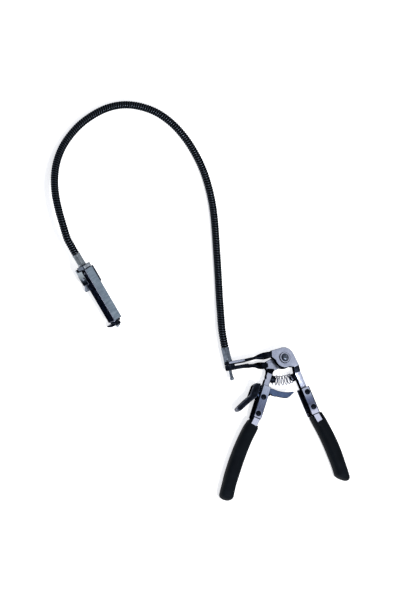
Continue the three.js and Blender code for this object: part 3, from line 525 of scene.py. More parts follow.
def hose_tree():
    """A tube along the line, with one continuous helical ridge wound round it."""
    tree, given = new_tree("gooseneck_hose", Radius=(FLOAT, 0.0052), Pitch=(FLOAT, 0.00325),
                           Groove=(FLOAT, 0.0011), Sides=(COUNT, 20), Steps_per_turn=(FLOAT, 10.0),
                           Material=(MATERIAL, None))
    inputs = given.outputs
    step = result(tree, MATH, "DIVIDE", inputs["Pitch"], inputs["Steps per turn"])
    fine = resampled(tree, inputs["Geometry"], step)
    ring = add(tree, "GeometryNodeCurvePrimitiveCircle", {"Resolution": inputs["Sides"],
               "Radius": inputs["Radius"]})
    noted = []
    for curve, name, measure in ((fine, "travelled", "Length"), (ring.outputs[0], "share", "Factor")):
        note = add(tree, "GeometryNodeCaptureAttribute", {"Geometry": curve}, domain="POINT")
        note.capture_items.new("FLOAT", name)
        tree.links.new(add(tree, "GeometryNodeSplineParameter").outputs[measure], note.inputs[1])
        noted.append(note.outputs)
    line, section = noted
    skin = add(tree, "GeometryNodeCurveToMesh", {"Curve": line[0], "Profile Curve": section[0],
               "Fill Caps": True})
    turns = result(tree, MATH, "DIVIDE", line[1], inputs["Pitch"])
    phase = result(tree, MATH, "MULTIPLY", result(tree, MATH, "ADD", turns, section[1]), math.pi)
    wave = result(tree, MATH, "ABSOLUTE", result(tree, MATH, "SINE", phase))
    crest = result(tree, MATH, "POWER", wave, 0.75)
    named = add(tree, "GeometryNodeStoreNamedAttribute", {"Geometry": skin.outputs[0], "Name": "crest",
                "Value": crest}, data_type="FLOAT", domain="POINT")
    sunk = result(tree, MATH, "MULTIPLY", result(tree, MATH, "SUBTRACT", crest, 1.0), inputs["Groove"])
    inward = result(tree, VECTOR, "MULTIPLY", add(tree, "GeometryNodeInputNormal").outputs[0], sunk)
    wound = add(tree, "GeometryNodeSetPosition", {"Geometry": named.outputs[0], "Offset": inward})
    end_tree(tree, wound.outputs[0], inputs["Material"])
    return tree


def coil_tree():
    """Round wire wound about the line: its points turn evenly, so close points give close coils."""
    tree, given = new_tree("wound_wire", Coil_radius=(FLOAT, 0.0), Turns=(FLOAT, 0.0),
                           Wire_radius=(FLOAT, 0.0005), Sides=(COUNT, 10), Material=(MATERIAL, None))
    inputs = given.outputs
    line = add(tree, "GeometryNodeMeshToCurve", {"Mesh": inputs["Geometry"]})
    upright = add(tree, "GeometryNodeSetCurveNormal", {"Curve": line.outputs[0]}, mode="Z_UP")
    count = add(tree, "GeometryNodeAttributeDomainSize", {"Geometry": line.outputs[0]}, component="CURVE")
    last = result(tree, MATH, "SUBTRACT", count.outputs["Point Count"], 1.0)
    share = result(tree, MATH, "DIVIDE", add(tree, "GeometryNodeInputIndex").outputs[0], last)
    angle = result(tree, MATH, "MULTIPLY", result(tree, MATH, "MULTIPLY", share, inputs["Turns"]), 2 * math.pi)
    normal = add(tree, "GeometryNodeInputNormal").outputs[0]
    tangent = add(tree, "GeometryNodeInputTangent").outputs[0]
    side = result(tree, VECTOR, "CROSS_PRODUCT", tangent, normal)
    parts = []
    for direction, wave in ((normal, "COSINE"), (side, "SINE")):
        reach = result(tree, MATH, "MULTIPLY", result(tree, MATH, wave, angle), inputs["Coil radius"])
        parts.append(result(tree, VECTOR, "MULTIPLY", direction, reach))
    offset = result(tree, VECTOR, "ADD", *parts)
    wound = add(tree, "GeometryNodeSetPosition", {"Geometry": upright.outputs[0], "Offset": offset})
    free = add(tree, "GeometryNodeSetCurveNormal", {"Curve": wound.outputs[0]}, mode="MINIMUM_TWIST")
    ring = add(tree, "GeometryNodeCurvePrimitiveCircle", {"Resolution": inputs["Sides"],
               "Radius": inputs["Wire radius"]})
    skin = add(tree, "GeometryNodeCurveToMesh", {"Curve": free.outputs[0], "Profile Curve": ring.outputs[0],
               "Fill Caps": True})
    end_tree(tree, skin.outputs[0], inputs["Material"])
    return tree


def rope_tree():
    """Wire rope: a section with one lobe for each strand, twisted along the line."""
    tree, given = new_tree("stranded_wire", Radius=(FLOAT, 0.001), Lay=(FLOAT, 0.012), Strands=(COUNT, 6),
                           Valley=(FLOAT, 0.22), Step=(FLOAT, 0.0015), Material=(MATERIAL, None))
    inputs = given.outputs
    fine = resampled(tree, inputs["Geometry"], inputs["Step"])
    travelled = add(tree, "GeometryNodeSplineParameter").outputs["Length"]
    twist = result(tree, MATH, "MULTIPLY", result(tree, MATH, "DIVIDE", travelled, inputs["Lay"]), 2 * math.pi)
    twisted = add(tree, "GeometryNodeSetCurveTilt", {"Curve": fine, "Tilt": twist})
    share = add(tree, "GeometryNodeSplineParameter").outputs["Factor"]
    lobes = result(tree, MATH, "MULTIPLY", result(tree, MATH, "MULTIPLY", share, inputs["Strands"]), math.pi)
    crest = result(tree, MATH, "ABSOLUTE", result(tree, MATH, "SINE", lobes))
    sunk = result(tree, MATH, "MULTIPLY", result(tree, MATH, "SUBTRACT", crest, 1.0), inputs["Valley"])
    place = add(tree, "GeometryNodeInputPosition").outputs[0]
    ring = add(tree, "GeometryNodeCurvePrimitiveCircle", {"Resolution": 36, "Radius": inputs["Radius"]})
    lobed = add(tree, "GeometryNodeSetPosition", {"Geometry": ring.outputs[0],
                "Offset": result(tree, VECTOR, "MULTIPLY", place, sunk)})
    skin = add(tree, "GeometryNodeCurveToMesh", {"Curve": twisted.outputs[0], "Profile Curve": lobed.outputs[0],
               "Fill Caps": True})
    end_tree(tree, skin.outputs[0], inputs["Material"])
    return tree


def rivet_tree():
    """One rivet stood at each point of the line."""
    tree, given = new_tree("rivets_at_points", Rivet=("NodeSocketObject", None), Material=(MATERIAL, None))
    rivet = add(tree, "GeometryNodeObjectInfo", {"Object": given.outputs["Rivet"]})
    copies = add(tree, "GeometryNodeInstanceOnPoints", {"Points": given.outputs["Geometry"],
                 "Instance": rivet.outputs["Geometry"]})
    end_tree(tree, copies.outputs[0], given.outputs["Material"])
    return tree


HOSE_TREE, COIL_TREE, ROPE_TREE, RIVET_TREE = hose_tree(), coil_tree(), rope_tree(), rivet_tree()


# ---- shapes made in mesh code ----------------------------------------------------------------
def smooth_line(points, per_span=8):
    """A centripetal Catmull-Rom curve through the points."""
    points = [Vector(p) for p in points]
    ends = [points[0] * 2 - points[1], *points, points[-1] * 2 - points[-2]]
    line = []
    for a, b, c, d in zip(ends, ends[1:], ends[2:], ends[3:]):
        t0 = 0.0
        t1 = t0 + math.sqrt((b - a).length)
        t2 = t1 + math.sqrt((c - b).length)
        t3 = t2 + math.sqrt((d - c).length)
        for i in range(per_span):
            t = t1 + (t2 - t1) * i / per_span
            ab = a.lerp(b, (t - t0) / (t1 - t0))
            bc = b.lerp(c, (t - t1) / (t2 - t1))
            cd = c.lerp(d, (t - t2) / (t3 - t2))
            near = ab.lerp(bc, (t - t0) / (t2 - t0))
            far = bc.lerp(cd, (t - t1) / (t3 - t1))
            line.append(near.lerp(far, (t - t1) / (t2 - t1)))
    return line + [points[-1]]


def joined_rings(rings, closed=False):
    """Points and faces for rings of equal count: open ends get a fan, and closed rings meet."""
    count = len(rings[0])
    points = [p for ring in rings for p in ring]
    faces = []
    spans = len(rings) if closed else len(rings) - 1
    beside = [(i, (i + 1) % count) for i in range(count)]
    for k in range(spans):
        here, there = k * count, (k + 1) % len(rings) * count
        faces += [(here + i, here + j, there + j, there + i) for i, j in beside]
    if not closed:
        for k in (0, len(rings) - 1):
            points.append(sum((Vector(p) for p in rings[k]), Vector()) / count)
            faces += [(k * count + i, k * count + j, len(points) - 1) for i, j in beside]
    return points, faces


def rounded(profile, radius, steps=3):
    """Softens each inner corner of an outline of pairs."""
    points = [Vector(p) for p in profile]
    soft = [points[0]]
    for before, corner, after in zip(points, points[1:], points[2:]):
        reach = min(radius, (corner - before).length * 0.45, (after - corner).length * 0.45)
        start = corner + (before - corner).normalized() * reach
        end = corner + (after - corner).normalized() * reach
        for i in range(steps + 1):
            t = i / steps
            soft.append(start.lerp(corner, t).lerp(corner.lerp(end, t), t))
    return [*soft, points[-1]]


def turned(name, profile, materials, place, soften=0.25, sides=56):
    """A turned piece from (radius, height) pairs that start and end on the axis."""
    soft = rounded(profile, soften)
    rings = [[(r * c, r * s, h) for c, s in circle(sides)] for r, h in soft[1:-1]]
    points, faces = joined_rings(rings)
    for pole, (_, height) in ((-2, soft[0]), (-1, soft[-1])):
        points[pole] = (0, 0, height)
    return mesh_piece(name, points, faces, materials, place)


def looks_along(normal, directions, closeness):
    return any(normal.dot(Vector(d)) > closeness for d in directions)


def cad_copy(node, materials, directions=(), closeness=0.985, where=None):
    """A copy of a node's solid, its triangles merged into whole flat faces. Those that look along the
    directions, in the region if one is given, take the second material."""
    shape = bmesh.new()
    shape.from_mesh(NODES[node].data)
    bmesh.ops.remove_doubles(shape, verts=shape.verts, dist=4e-6)
    shape.normal_update()
    for face in shape.faces:
        chosen = looks_along(face.normal, directions, closeness)
        face.material_index = int(chosen and (where is None or where(face.calc_center_median() / MM)))
    bmesh.ops.dissolve_limit(shape, angle_limit=math.radians(0.6), verts=shape.verts, edges=shape.edges,
                             delimit={"MATERIAL"})
    shape.verts.index_update()
    mesh = bpy.data.meshes.new(node)
    mesh.from_pydata([v.co[:] for v in shape.verts], [], [[v.index for v in f.verts] for f in shape.faces])
    mesh.polygons.foreach_set("material_index", [f.material_index for f in shape.faces])
    shape.free()
    for material in materials:
        mesh.materials.append(material)
    return new_object(node + "_finished", mesh)


def paint_flats(piece, slot, directions=((0, 0, 1), (0, 0, -1)), closeness=0.985, where=None):
    """Gives the material slot to the faces that look along the directions, in the region if given."""
    for face in piece.data.polygons:
        if looks_along(face.normal, directions, closeness) and (where is None or where(face.center / MM)):
            face.material_index = slot
    return piece


def finished(node, slot, materials, bevel=0.3, edge_slot=-1, flats=None, edges=None):
    """The usual way to finish a machined node: its copy, with softened edges and its flats picked out."""
    piece = cad_copy(node, materials, **(flats or {}))
    bevelled(piece, bevel, edge_slot=edge_slot)
    if edges:
        paint_flats(piece, **edges)
    return place_piece(piece, slot, node)


def prism(outline, low, high):
    """A straight-sided solid: an outline in the tool's plane, from one height to another."""
    count = len(outline)
    points = [(x, y, z) for z in (low, high) for x, y in outline]
    faces = [tuple(range(count)), tuple(range(2 * count - 1, count - 1, -1))]
    faces += [(i, i + count, (i + 1) % count + count, (i + 1) % count) for i in range(count)]
    return points, faces


# ---- hose ------------------------------------------------------------------------------------
SHEATH_ROUTE = [
    (-82.3, 8.8, 10), (-84.6, 20.2, 10), (-86.4, 32, 9.4), (-87.5, 54, 7.4), (-88.5, 76, 5.7),
    (-89.5, 98, 5), (-92.2, 140, 5), (-95.5, 183, 5), (-98.7, 205, 5), (-103.8, 226, 5),
    (-111.1, 247, 5), (-121.8, 267.8, 5), (-136.2, 288.4, 5), (-154.9, 306.8, 5), (-177.2, 320.2, 5),
    (-200.2, 326.4, 5), (-222.8, 327, 5), (-245.4, 321.2, 5), (-268, 308.8, 5), (-289.4, 290.7, 5),
    (-308.4, 265.2, 5.6), (-318.6, 242, 8.6), (-323.5, 219, 13.2), (-324.2, 196.5, 18.2),
    (-321.3, 174.4, 22.6), (-315.9, 153, 25.4), (-310, 135.2, 26), (-303.7, 125.3, 25.1),
]
HEAD_FERRULE_START = -22.2
HOSE_BORE = 2.5    # opened at the head's end only, where the wire slides in
BORED_POINTS = 32  # how many of the line's last points the bore takes in
HOSE_LINE = smooth_line([*SHEATH_ROUTE, HEAD_FRAME @ Vector((HEAD_FERRULE_START - GAP, 0, WIRE_LEVEL))])


def make_hose():
    """The wound hose between its ferrules, bored where the head's wire enters it."""
    hose = run_tree("gooseneck_hose", HOSE_TREE, HOSE_LINE, Material=HOSE)
    bore_line = [*HOSE_LINE[-BORED_POINTS:], HOSE_LINE[-1] * 2 - HOSE_LINE[-2]]
    rings = []
    for before, here, after in zip([bore_line[0], *bore_line], bore_line, [*bore_line[1:], bore_line[-1]]):
        along = (after - before).normalized()
        side = along.cross(Vector((0, 0, 1))).normalized()
        lift = side.cross(along)
        rings.append([here + (side * c + lift * s) * HOSE_BORE for c, s in circle(16)])
    cut_from(hose, mesh_piece("hose_bore", *joined_rings(rings), [HOSE]))
    place_piece(hose, "hose", "sheath")


make_hose()


# ---- the two crossing halves -----------------------------------------------------------------
def jaw_loft(name, start, end, start_half, end_half):
    """A flat bar that twists a quarter turn on its way from the pivot plate to the jaw's end."""
    start, end = Vector(start), Vector(end)
    along = (end - start).normalized()
    flat = Vector((0, 0, 1)).cross(along).normalized()
    upright = along.cross(flat)
    rings = []
    steps, sides, squareness = 26, 28, 0.28
    for k in range(steps + 1):
        share = eased((k / steps - 0.04) / 0.72)  # the twist lies between the plate and the jaw
        angle = math.radians(90) * share
        wide_axis = flat * math.cos(angle) + upright * math.sin(angle)
        thin_axis = upright * math.cos(angle) - flat * math.sin(angle)
        wide, thin = (a + (b - a) * share for a, b in zip(start_half, end_half))
        middle = start.lerp(end, k / steps)
        rings.append([middle + wide_axis * wide * boxy(c, squareness) + thin_axis * thin * boxy(s, squareness)
                      for c, s in circle(sides)])
    # The twist stays black: painted dark reflection where the turning bar faces away from the lights.
    return mesh_piece(name, *joined_rings(rings), [BLACK])


def cable_point(across, down):
    """A point in the plane of the cable's end: across from the wire's line, and down it."""
    place = CABLE_FRAME @ Vector((across, -down, 0))
    return place.x, place.y


def joined_on(piece, other):
    """Adds another closed body to the piece's mesh: the two run into each other, as a forging's parts do."""
    shape = bmesh.new()
    shape.from_mesh(piece.data)
    shape.from_mesh(other.data)
    shape.to_mesh(piece.data)
    shape.free()
    bpy.data.objects.remove(other)
    return piece


def plier_half(node, edge_x, is_ground, loft):
    """One half of the pliers: the stamped plate, bend and arm, with a twist for its jaw's plain middle.
    Its flat faces in the given region take the bright steel, and its sides, bevels and twist stay black:
    painted reflection, bright where the plated steel faces the lights and dark where it turns away."""
    half = cad_copy(node, [BLACK, LIT_FLAT_STEEL])
    gap = prism([(edge_x, 22), (edge_x, -30), cable_point(25.6, 45), cable_point(25.6, 2)], -6, 26)
    cut_from(half, mesh_piece("jaw_gap", *gap, [BLACK]))
    paint_flats(half, 1, where=is_ground)
    bevelled(half, 0.5, edge_slot=0)
    joined_on(half, loft)
    smoothed(half.data, 20)
    return place_piece(half, "plate_steel", node)


plier_half("upper_jaw_arm", -19.2, lambda c: c.x > -16.8 or c.x < -53, jaw_loft(
    "upper_twist", (-13, 5.0, 13.2), (-57.5, -7.5, 10), (3.75, 2.95), (5.65, 1.75)))
plier_half("lower_jaw_arm", -25.2, lambda c: c.x > -22.6 or c.y < -14 and c.x > -52, jaw_loft(
    "lower_twist", (-20.5, -10.6, 6.8), (-56, -14.5, 10), (3.85, 2.95), (5.65, 1.95)))

# ---- pivot -----------------------------------------------------------------------------------
UPRIGHT = Matrix.Identity(4)
finished("pivot_nut", "zinc_steel", [DARK_ZINC], 0.4)
# The washer's flat ring takes the bright steel, and its rounded rim and inner step stay black: painted
# reflection, dark where the rim turns away from the lights.
washer = turned("pivot_washer_finished", [
    (0, 16.5), (7.5, 16.5), (7.5, 17.2), (6.9, 17.8), (5.3, 17.8), (5.0, 17.45), (4.5, 17.45), (0, 17.45)],
    [BLACK, LIT_FLAT_STEEL], UPRIGHT, 0.2, 72)
paint_flats(washer, 1, closeness=0.97, where=lambda c: 5.2 < math.hypot(c.x, c.y) < 6.9)
bore = turned("bore", [(0, 15), (4.3, 15), (4.3, 19), (0, 19)], [BLACK], UPRIGHT, 0.01, 56)
cut_from(washer, bore)
smoothed(washer.data)
place_piece(washer, "zinc_steel", "pivot_washer")
place_piece(turned("pivot_bolt_finished", [
    (0, 1.5), (4, 1.5), (4, 18.1), (4.6, 18.1), (4.6, 19.0), (4.2, 20.0), (3.2, 20.7), (1.9, 21.1),
    (1.5, 20.8), (0, 20.7)], [SMOKED], UPRIGHT, 0.35), "black_oxide_steel", "pivot_bolt")

# ---- handle shells, rivets, packing ----------------------------------------------------------
# Faces looking along ±Z take the flat's bright or blue steel, and the sides and bevels take the black: painted
# reflection, bright where the plated steel faces the lights and dark where it turns away.
front = {"directions": ((0, 0, 1), (0, 0, -1)), "closeness": 0.985}
finished("right_handle_shell", "plate_steel", [BLACK, RIGHT_FLAT], 0.65, 0, front)
finished("left_handle_shell", "plate_steel", [BLACK, LEFT_FLAT], 0.65, 0, front)

RIVET_SHAPE = [(0, 0.2), (2.6, 0.25), (3, 0.6), (3, 1.1), (2, 1.1), (2, 18.9), (3.7, 18.9), (3.7, 19.4),
               (3.3, 20.0), (2.4, 20.4), (1.2, 20.55), (0, 20.6)]


def set_rivets(name, nodes):
    """The shell rivets of one body, each a domed head on a shank that is closed over behind."""
    master = turned("rivet", RIVET_SHAPE, [BLACK], UPRIGHT, 0.35, 40)
    centres = [sum(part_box(node), Vector()) / 2 / MM for node in nodes]
    rivets = run_tree(name, RIVET_TREE, [(c.x, c.y, 0) for c in centres], Rivet=master, Material=BLACK)
    bpy.data.objects.remove(master)
    return place_piece(rivets, "black_oxide_steel", *nodes)


set_rivets("right_shell_rivets", ["right_handle_rivet_1", "right_handle_rivet_2"])
set_rivets("left_shell_rivets", ["lock_pivot_pin", "left_handle_rivet"])
finished("right_packing_strip", "black_oxide_steel", [BLACK], 0.25)
finished("left_packing_strip", "black_oxide_steel", [BLACK], 0.25)


# ---- grips -----------------------------------------------------------------------------------
def grip_ring(centre, across, half_wide, half_deep, lean, squareness):
    """One section of a grip. Lean carries its outer side ahead of its inner side, or behind it."""
    along = Vector((-across.y, across.x, 0))
    sides = [(boxy(c, squareness), boxy(s, squareness)) for c, s in circle(64)]
    return [centre + across * x * half_wide + along * lean * x + Vector((0, 0, z * half_deep))
            for x, z in sides]


COLLAR_LENGTH = 11
ROUND_END = 6.5   # the stretch over which the end closes
LEANING_END = 14


def make_grip(node, line, handle, end_lean, open_side):
    """A dipped grip: a thin collar over the shell, a full palm swell, and a rounded, slightly flared end."""
    path = smooth_line([(x, y, MID) for x, y in line], 16)
    total = path_length(path)
    rings, travelled = [], 0.0
    for i, centre in enumerate(path):
        if i:
            travelled += (centre - path[i - 1]).length
        ahead = (path[min(i + 1, len(path) - 1)] - path[max(i - 1, 0)]).normalized()
        across = Vector((-ahead.y, ahead.x, 0))
        left = total - travelled
        collar = eased(travelled / COLLAR_LENGTH)
        swell = 1 + 0.035 * math.sin(math.pi * min(max((travelled - 20) / (total - 20), 0), 1))
        waist = 1 - 0.04 * math.exp(-((left - 22) / 10) ** 2)
        closing = max(math.sqrt(max(1 - max(1 - left / ROUND_END, 0) ** 2, 0)), 0.12)
        wide = (8.3 + collar) * swell * waist * closing
        deep = (9.7 + 0.25 * collar) * closing
        lean = end_lean * max(1 - left / LEANING_END, 0) * closing
        rings.append(grip_ring(centre, across, wide, deep, lean, 0.66 + 0.14 * collar))
    grip = mesh_piece(node + "_dipped", *joined_rings(rings), [VINYL])
    side, middle, bend = handle["side"], handle["side"] * handle["offset"], handle["bend"]
    bent = Matrix.Translation((middle, -bend, 0)) @ Matrix.Rotation(
        math.radians(side * BEND_ANGLE), 4, "Z") @ Matrix.Translation((-middle, bend, 0))
    neck = (5.4, 5.4, -NECK_LENGTH - GAP, 1.8, 18.2)
    window = (4.9, open_side, -10.6, MID, 24)  # shows the shell's last stretch, in front
    for outer, inner, bottom, low, high in (neck, window):
        outline = [(middle + side * outer, 8 - bend), (middle - side * inner, 8 - bend),
                   (middle - side * inner, bottom - bend), (middle + side * outer, bottom - bend)]
        tool = mesh_piece("pocket", *prism(outline, low, high), [VINYL], handle_frame(handle) @ bent)
        cut_from(grip, tool)
    skin = grip.modifiers.new("skin", "REMESH")
    skin.mode, skin.voxel_size, skin.use_smooth_shade = "VOXEL", 0.55 * MM, True
    settle(grip)
    soft = grip.modifiers.new("soft", "SMOOTH")
    soft.factor, soft.iterations = 0.5, 6
    settle(grip)
    grip.data.materials.clear()
    grip.data.materials.append(VINYL)
    grip.data.polygons.foreach_set("use_smooth", [True] * len(grip.data.polygons))
    return place_piece(grip, "dipped_vinyl", node)


RIGHT_GRIP_LINE = [(45.6, -73), (51.6, -82.3), (59.3, -95.4), (67.2, -110.5), (74.4, -127),
                   (80.6, -143.5), (85.4, -158.5)]
LEFT_GRIP_LINE = [(-42, -89.5), (-48.8, -101.5), (-56.4, -117), (-65, -138.2), (-73.4, -163),
                  (-78.6, -182), (-81.6, -196)]
make_grip("right_grip", RIGHT_GRIP_LINE, RIGHT, -6.0, 4.9)
make_grip("left_grip", LEFT_GRIP_LINE, LEFT, 0.0, 14.0)

# ---- handle spring and seats -----------------------------------------------------------------
SEATS = {"left": (LEFT, 32.5, LEFT["offset"] - 3.8), "right": (RIGHT, 28.5, RIGHT["offset"] - 4.3)}
SEAT_SHAPE = [(0, 0.3), (5.4, 0.3), (5.4, 1.6), (4.9, 2.0), (4.9, 3.4), (5.4, 3.8), (5.4, 4.6), (4, 4.6),
              (3.8, 6.6), (3.2, 7.2), (0, 7.2)]
for which, (handle, down, face) in SEATS.items():
    stand = handle_frame(handle) @ Matrix.Translation((handle["side"] * face, -down, MID)) @ Matrix.Rotation(
        math.radians(-90 * handle["side"]), 4, "Y")
    place_piece(turned(f"{which}_spring_seat_finished", SEAT_SHAPE, [BLACK], stand), "black_oxide_steel",
                f"{which}_spring_seat")


def seat_point(which, out):
    handle, down, face = SEATS[which]
    return on_handle(handle, down, face - out)


def make_handle_spring():
    """An open coil between the seats, bowed away from the pivot, with a closed turn at each end."""
    a, b, c, d = (seat_point(*p) for p in (("left", 5.55), ("left", 12.6), ("right", 12.6), ("right", 5.55)))
    bow = []
    for i in range(401):
        t = i / 400
        ab, bc, cd = a.lerp(b, t), b.lerp(c, t), c.lerp(d, t)
        bow.append(ab.lerp(bc, t).lerp(bc.lerp(cd, t), t))
    travelled = [0.0]
    for near, far in zip(bow, bow[1:]):
        travelled.append(travelled[-1] + (far - near).length)
    line = []
    count = 420
    k = 0
    for i in range(count + 1):
        share = i / count
        reached = travelled[-1] * (share - 0.035 * math.sin(2 * math.pi * share))
        while k < 399 and travelled[k + 1] < reached:
            k += 1
        part = (reached - travelled[k]) / (travelled[k + 1] - travelled[k])
        line.append(bow[k].lerp(bow[k + 1], part))
    spring = run_tree("handle_spring_wound", COIL_TREE, line, Coil_radius=6.1 * MM, Turns=6.5,
                      Wire_radius=0.62 * MM, Sides=12, Material=WIRE)
    place_piece(spring, "spring_steel", "handle_spring", body="blend")
    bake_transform(spring)


make_handle_spring()

# ---- ratchet lock ----------------------------------------------------------------------------
# As on the shells, the flats take the blue steel and the sides and bevels black as painted reflection; the
# catch's bevels take the painted edge highlight.
finished("lock_quadrant", "blue_steel", [BLACK, BLUED], 0.5, 0, front)
LEVER_OUTLINE = [(-34.2, -37.6), (-41.2, -37.1), (-44.6, -40.0), (-50.4, -55.4), (-55.1, -59.2),
                 (-67.8, -71.8), (-68.2, -74.8), (-66.1, -76.7), (-62.9, -76.4), (-48.6, -62.9),
                 (-40.2, -56.5), (-37.4, -50.2)]
# The lever's rounded edges take the painted edge highlight.
lever = mesh_piece("lock_thumb_lever_finished", *prism(LEVER_OUTLINE, 6.6, 18.4), [BLACK, EDGE_HIGHLIGHT])
place_piece(bevelled(lever, 1.2, 4, edge_slot=1), "black_oxide_steel", "lock_thumb_lever")
finished("lock_catch", "blue_steel", [BLACK, BLUED, EDGE_HIGHLIGHT], 0.25, 2, front)
tail = sum(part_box("lock_lever_rivet"), Vector()) / 2 / MM
place_piece(turned("lock_lever_rivet_finished", [
    (0, 2), (2.6, 2.1), (2.6, 3.1), (1.5, 3.1), (1.5, 17.3), (0, 17.3)],
    [DARK_ZINC], Matrix.Translation((tail.x, tail.y, 0)), 0.25, 36), "zinc_steel", "lock_lever_rivet")


def make_lock_spring():
    """A small torsion spring behind the arm, with one leg against the thumb lever."""
    pin = on_handle(LEFT, 62.5, LEFT["offset"])
    x, y, radius, turns, per_turn = pin.x, pin.y, 3.3, 2, 16
    points = [(x - 8.9, y - 1.5, 3.9), (x - 6, y + radius - 1.2, 3.9)]
    for i in range(turns * per_turn + 1):
        angle = math.pi / 2 - i / per_turn * 2 * math.pi
        height = 3.9 + 1.4 * i / turns / per_turn
        points.append((x + radius * math.cos(angle), y + radius * math.sin(angle), height))
    points.append((x + 3.6, y + radius + 1, 5.3))
    spring = run_tree("lock_spring_wound", COIL_TREE, smooth_line(points, 3), Wire_radius=0.4 * MM, Sides=8,
                      Material=WIRE)
    place_piece(spring, "spring_steel", "lock_spring", body="blend")
    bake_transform(spring)


make_lock_spring()


# ---- ferrules and the wire's end -------------------------------------------------------------
def make_ferrule(node, place, length, spigot_end, material, bore=1.6):
    """A collar, a hexagonal crimp with rolled corners, a second collar, and a spigot, bored through."""
    stops = [(0.0, bore, 0), (0.0, 5.2, 0), (0.5, 5.7, 0), (1.9, 5.7, 0), (2.4, 5.5, 0.4),
             (3.0, 5.85, 1), (length - 3.0, 5.85, 1), (length - 2.4, 5.5, 0.4), (length - 1.9, 5.7, 0),
             (length - 0.5, 5.7, 0),
             (length, 5.2, 0), (length, 3.0, 0), (spigot_end - 0.4, 3.0, 0), (spigot_end, 2.6, 0),
             (spigot_end, bore, 0)]
    sides = 72
    rings = []
    for down, radius, hexness in stops:
        ring = []
        for i in range(sides):
            a = 2 * math.pi * i / sides
            flat = math.cos(math.pi / 6) / math.cos((a % (math.pi / 3)) - math.pi / 6)
            reach = radius * (1 + hexness * (min(flat, 0.985) - 1))
            ring.append((reach * math.cos(a), -down, reach * math.sin(a)))
        rings.append(ring)
    ferrule = mesh_piece(node + "_crimped", *joined_rings(rings, closed=True), [material], place)
    smoothed(ferrule.data, 28)
    bevelled(ferrule, 0.12, 2, 40)
    return place_piece(ferrule, "zinc_steel", node)


make_ferrule("cable_ferrule", CABLE_FRAME, 19.2, 23.1, CABLE_ZINC)
HEAD_FERRULE_FRAME = HEAD_FRAME @ Matrix.Translation((HEAD_FERRULE_START, 0, WIRE_LEVEL)) @ Matrix.Rotation(
    math.radians(90), 4, "Z")
make_ferrule("head_ferrule", HEAD_FERRULE_FRAME, 16.6, 23.6, FERRULE)

DOWN_CABLE = CABLE_FRAME @ Matrix.Rotation(math.radians(90), 4, "X")
place_piece(turned("wire_end_rod_finished", [
    (0, 24.5), (2.15, 24.5), (2.15, 39.2), (2.3, 39.8), (2.75, 40.6), (3, 41.7), (2.75, 42.9), (1.9, 43.9),
    (1.0, 44.4), (0, 44.5)], [CABLE_ZINC], DOWN_CABLE, 0.3), "zinc_steel", "wire_end_rod")
finished("wire_clamp_screw", "black_oxide_steel", [BLACK], 0.15)


def make_wire(node, place, start, end, step=0.5, body=None):
    """A straight run of wire rope along a frame's X, from start to end."""
    count = max(int((end - start) / step), 2)
    line = [place @ Vector((start + (end - start) * i / count, 0, 0)) for i in range(count + 1)]
    wire = run_tree(node + "_stranded", ROPE_TREE, line, Radius=1.0 * MM, Step=step * MM, Material=ROPE)
    return place_piece(wire, "spring_steel", node, body=body)


DOWN_WIRE = CABLE_FRAME @ Matrix.Rotation(math.radians(-90), 4, "Z")
pull = make_wire("pull_wire", DOWN_WIRE, 8.0, 24.2, 0.25, "blend")
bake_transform(pull)

# ---- remote head -----------------------------------------------------------------------------
# The web's faces take the brushed steel and the flanges stay black as painted dark reflection; the bevels take
# the painted edge highlight, and those that face up and to the left take the bright steel, a painted highlight
# along that edge.
web = {"directions": (HEAD_UP, -HEAD_UP), "closeness": 0.985}
finished("head_channel", "blue_steel", [BLACK, WEB, EDGE_HIGHLIGHT, LIT_FLAT_STEEL], 0.8, 2, web,
         {"slot": 3, "directions": ((HEAD_UP - HEAD_ACROSS) * 0.70711,), "closeness": 0.8})
# The cap's upward facet takes the lighter zinc and the rest the smoked zinc: the top painted lighter as the lit
# side.
finished("head_end_cap", "black_oxide_steel", [SMOKED, ZINC], 0.6, 0,
         {"directions": (HEAD_UP,), "closeness": 0.9})
finished("end_cap_pin", "zinc_steel", [DARK_ZINC], 0.15)
# Faces that look across and stand more than 6 mm out take the cheek's zinc with its painted shade towards the
# lug; the rest stays black, which stands as painted shade on the lug, and the bevels take the painted edge
# highlight.
sides_out = {"directions": (HEAD_ACROSS, -HEAD_ACROSS), "closeness": 0.9,
             "where": lambda c: abs((c - HEAD_FRAME.translation).dot(HEAD_ACROSS)) > 6}
finished("fixed_jaw_bracket", "black_oxide_steel", [BLACK, CHEEK, EDGE_HIGHLIGHT], 0.35, 2, sides_out)
finished("bracket_rivet_left", "zinc_steel", [DARK_ZINC], 0.25)
finished("bracket_rivet_right", "zinc_steel", [DARK_ZINC], 0.25)
SWIVEL_FRAME = HEAD_FRAME @ Matrix.Translation((0, 0, SWIVEL_LEVEL)) @ Matrix.Rotation(
    math.radians(90), 4, "Y")
swivel = turned("swivel_jaw_finished", [
    (0, 3.4), (2, 3.4), (2, 4.1), (1.5, 4.1), (1.5, 5.5), (2, 5.5), (2, 20.3), (4.2, 20.3), (4.2, 22.4),
    (6.5, 26.6), (6.5, 28.8), (0, 28.8)], [DARK_ZINC], SWIVEL_FRAME, 0.3, 72)
slot_tool = prism([(27.4, -8), (32, -8), (32, 8), (27.4, 8)], SWIVEL_LEVEL - 0.9, SWIVEL_LEVEL + 0.9)
cut_from(swivel, mesh_piece("ear_groove", *slot_tool, [DARK_ZINC], HEAD_FRAME))
smoothed(swivel.data)
place_piece(swivel, "zinc_steel", "swivel_jaw")
finished("swivel_clip", "spring_steel", [WIRE], 0.15)
finished("jaw_slider", "black_oxide_steel", [BLACK], 0.35)
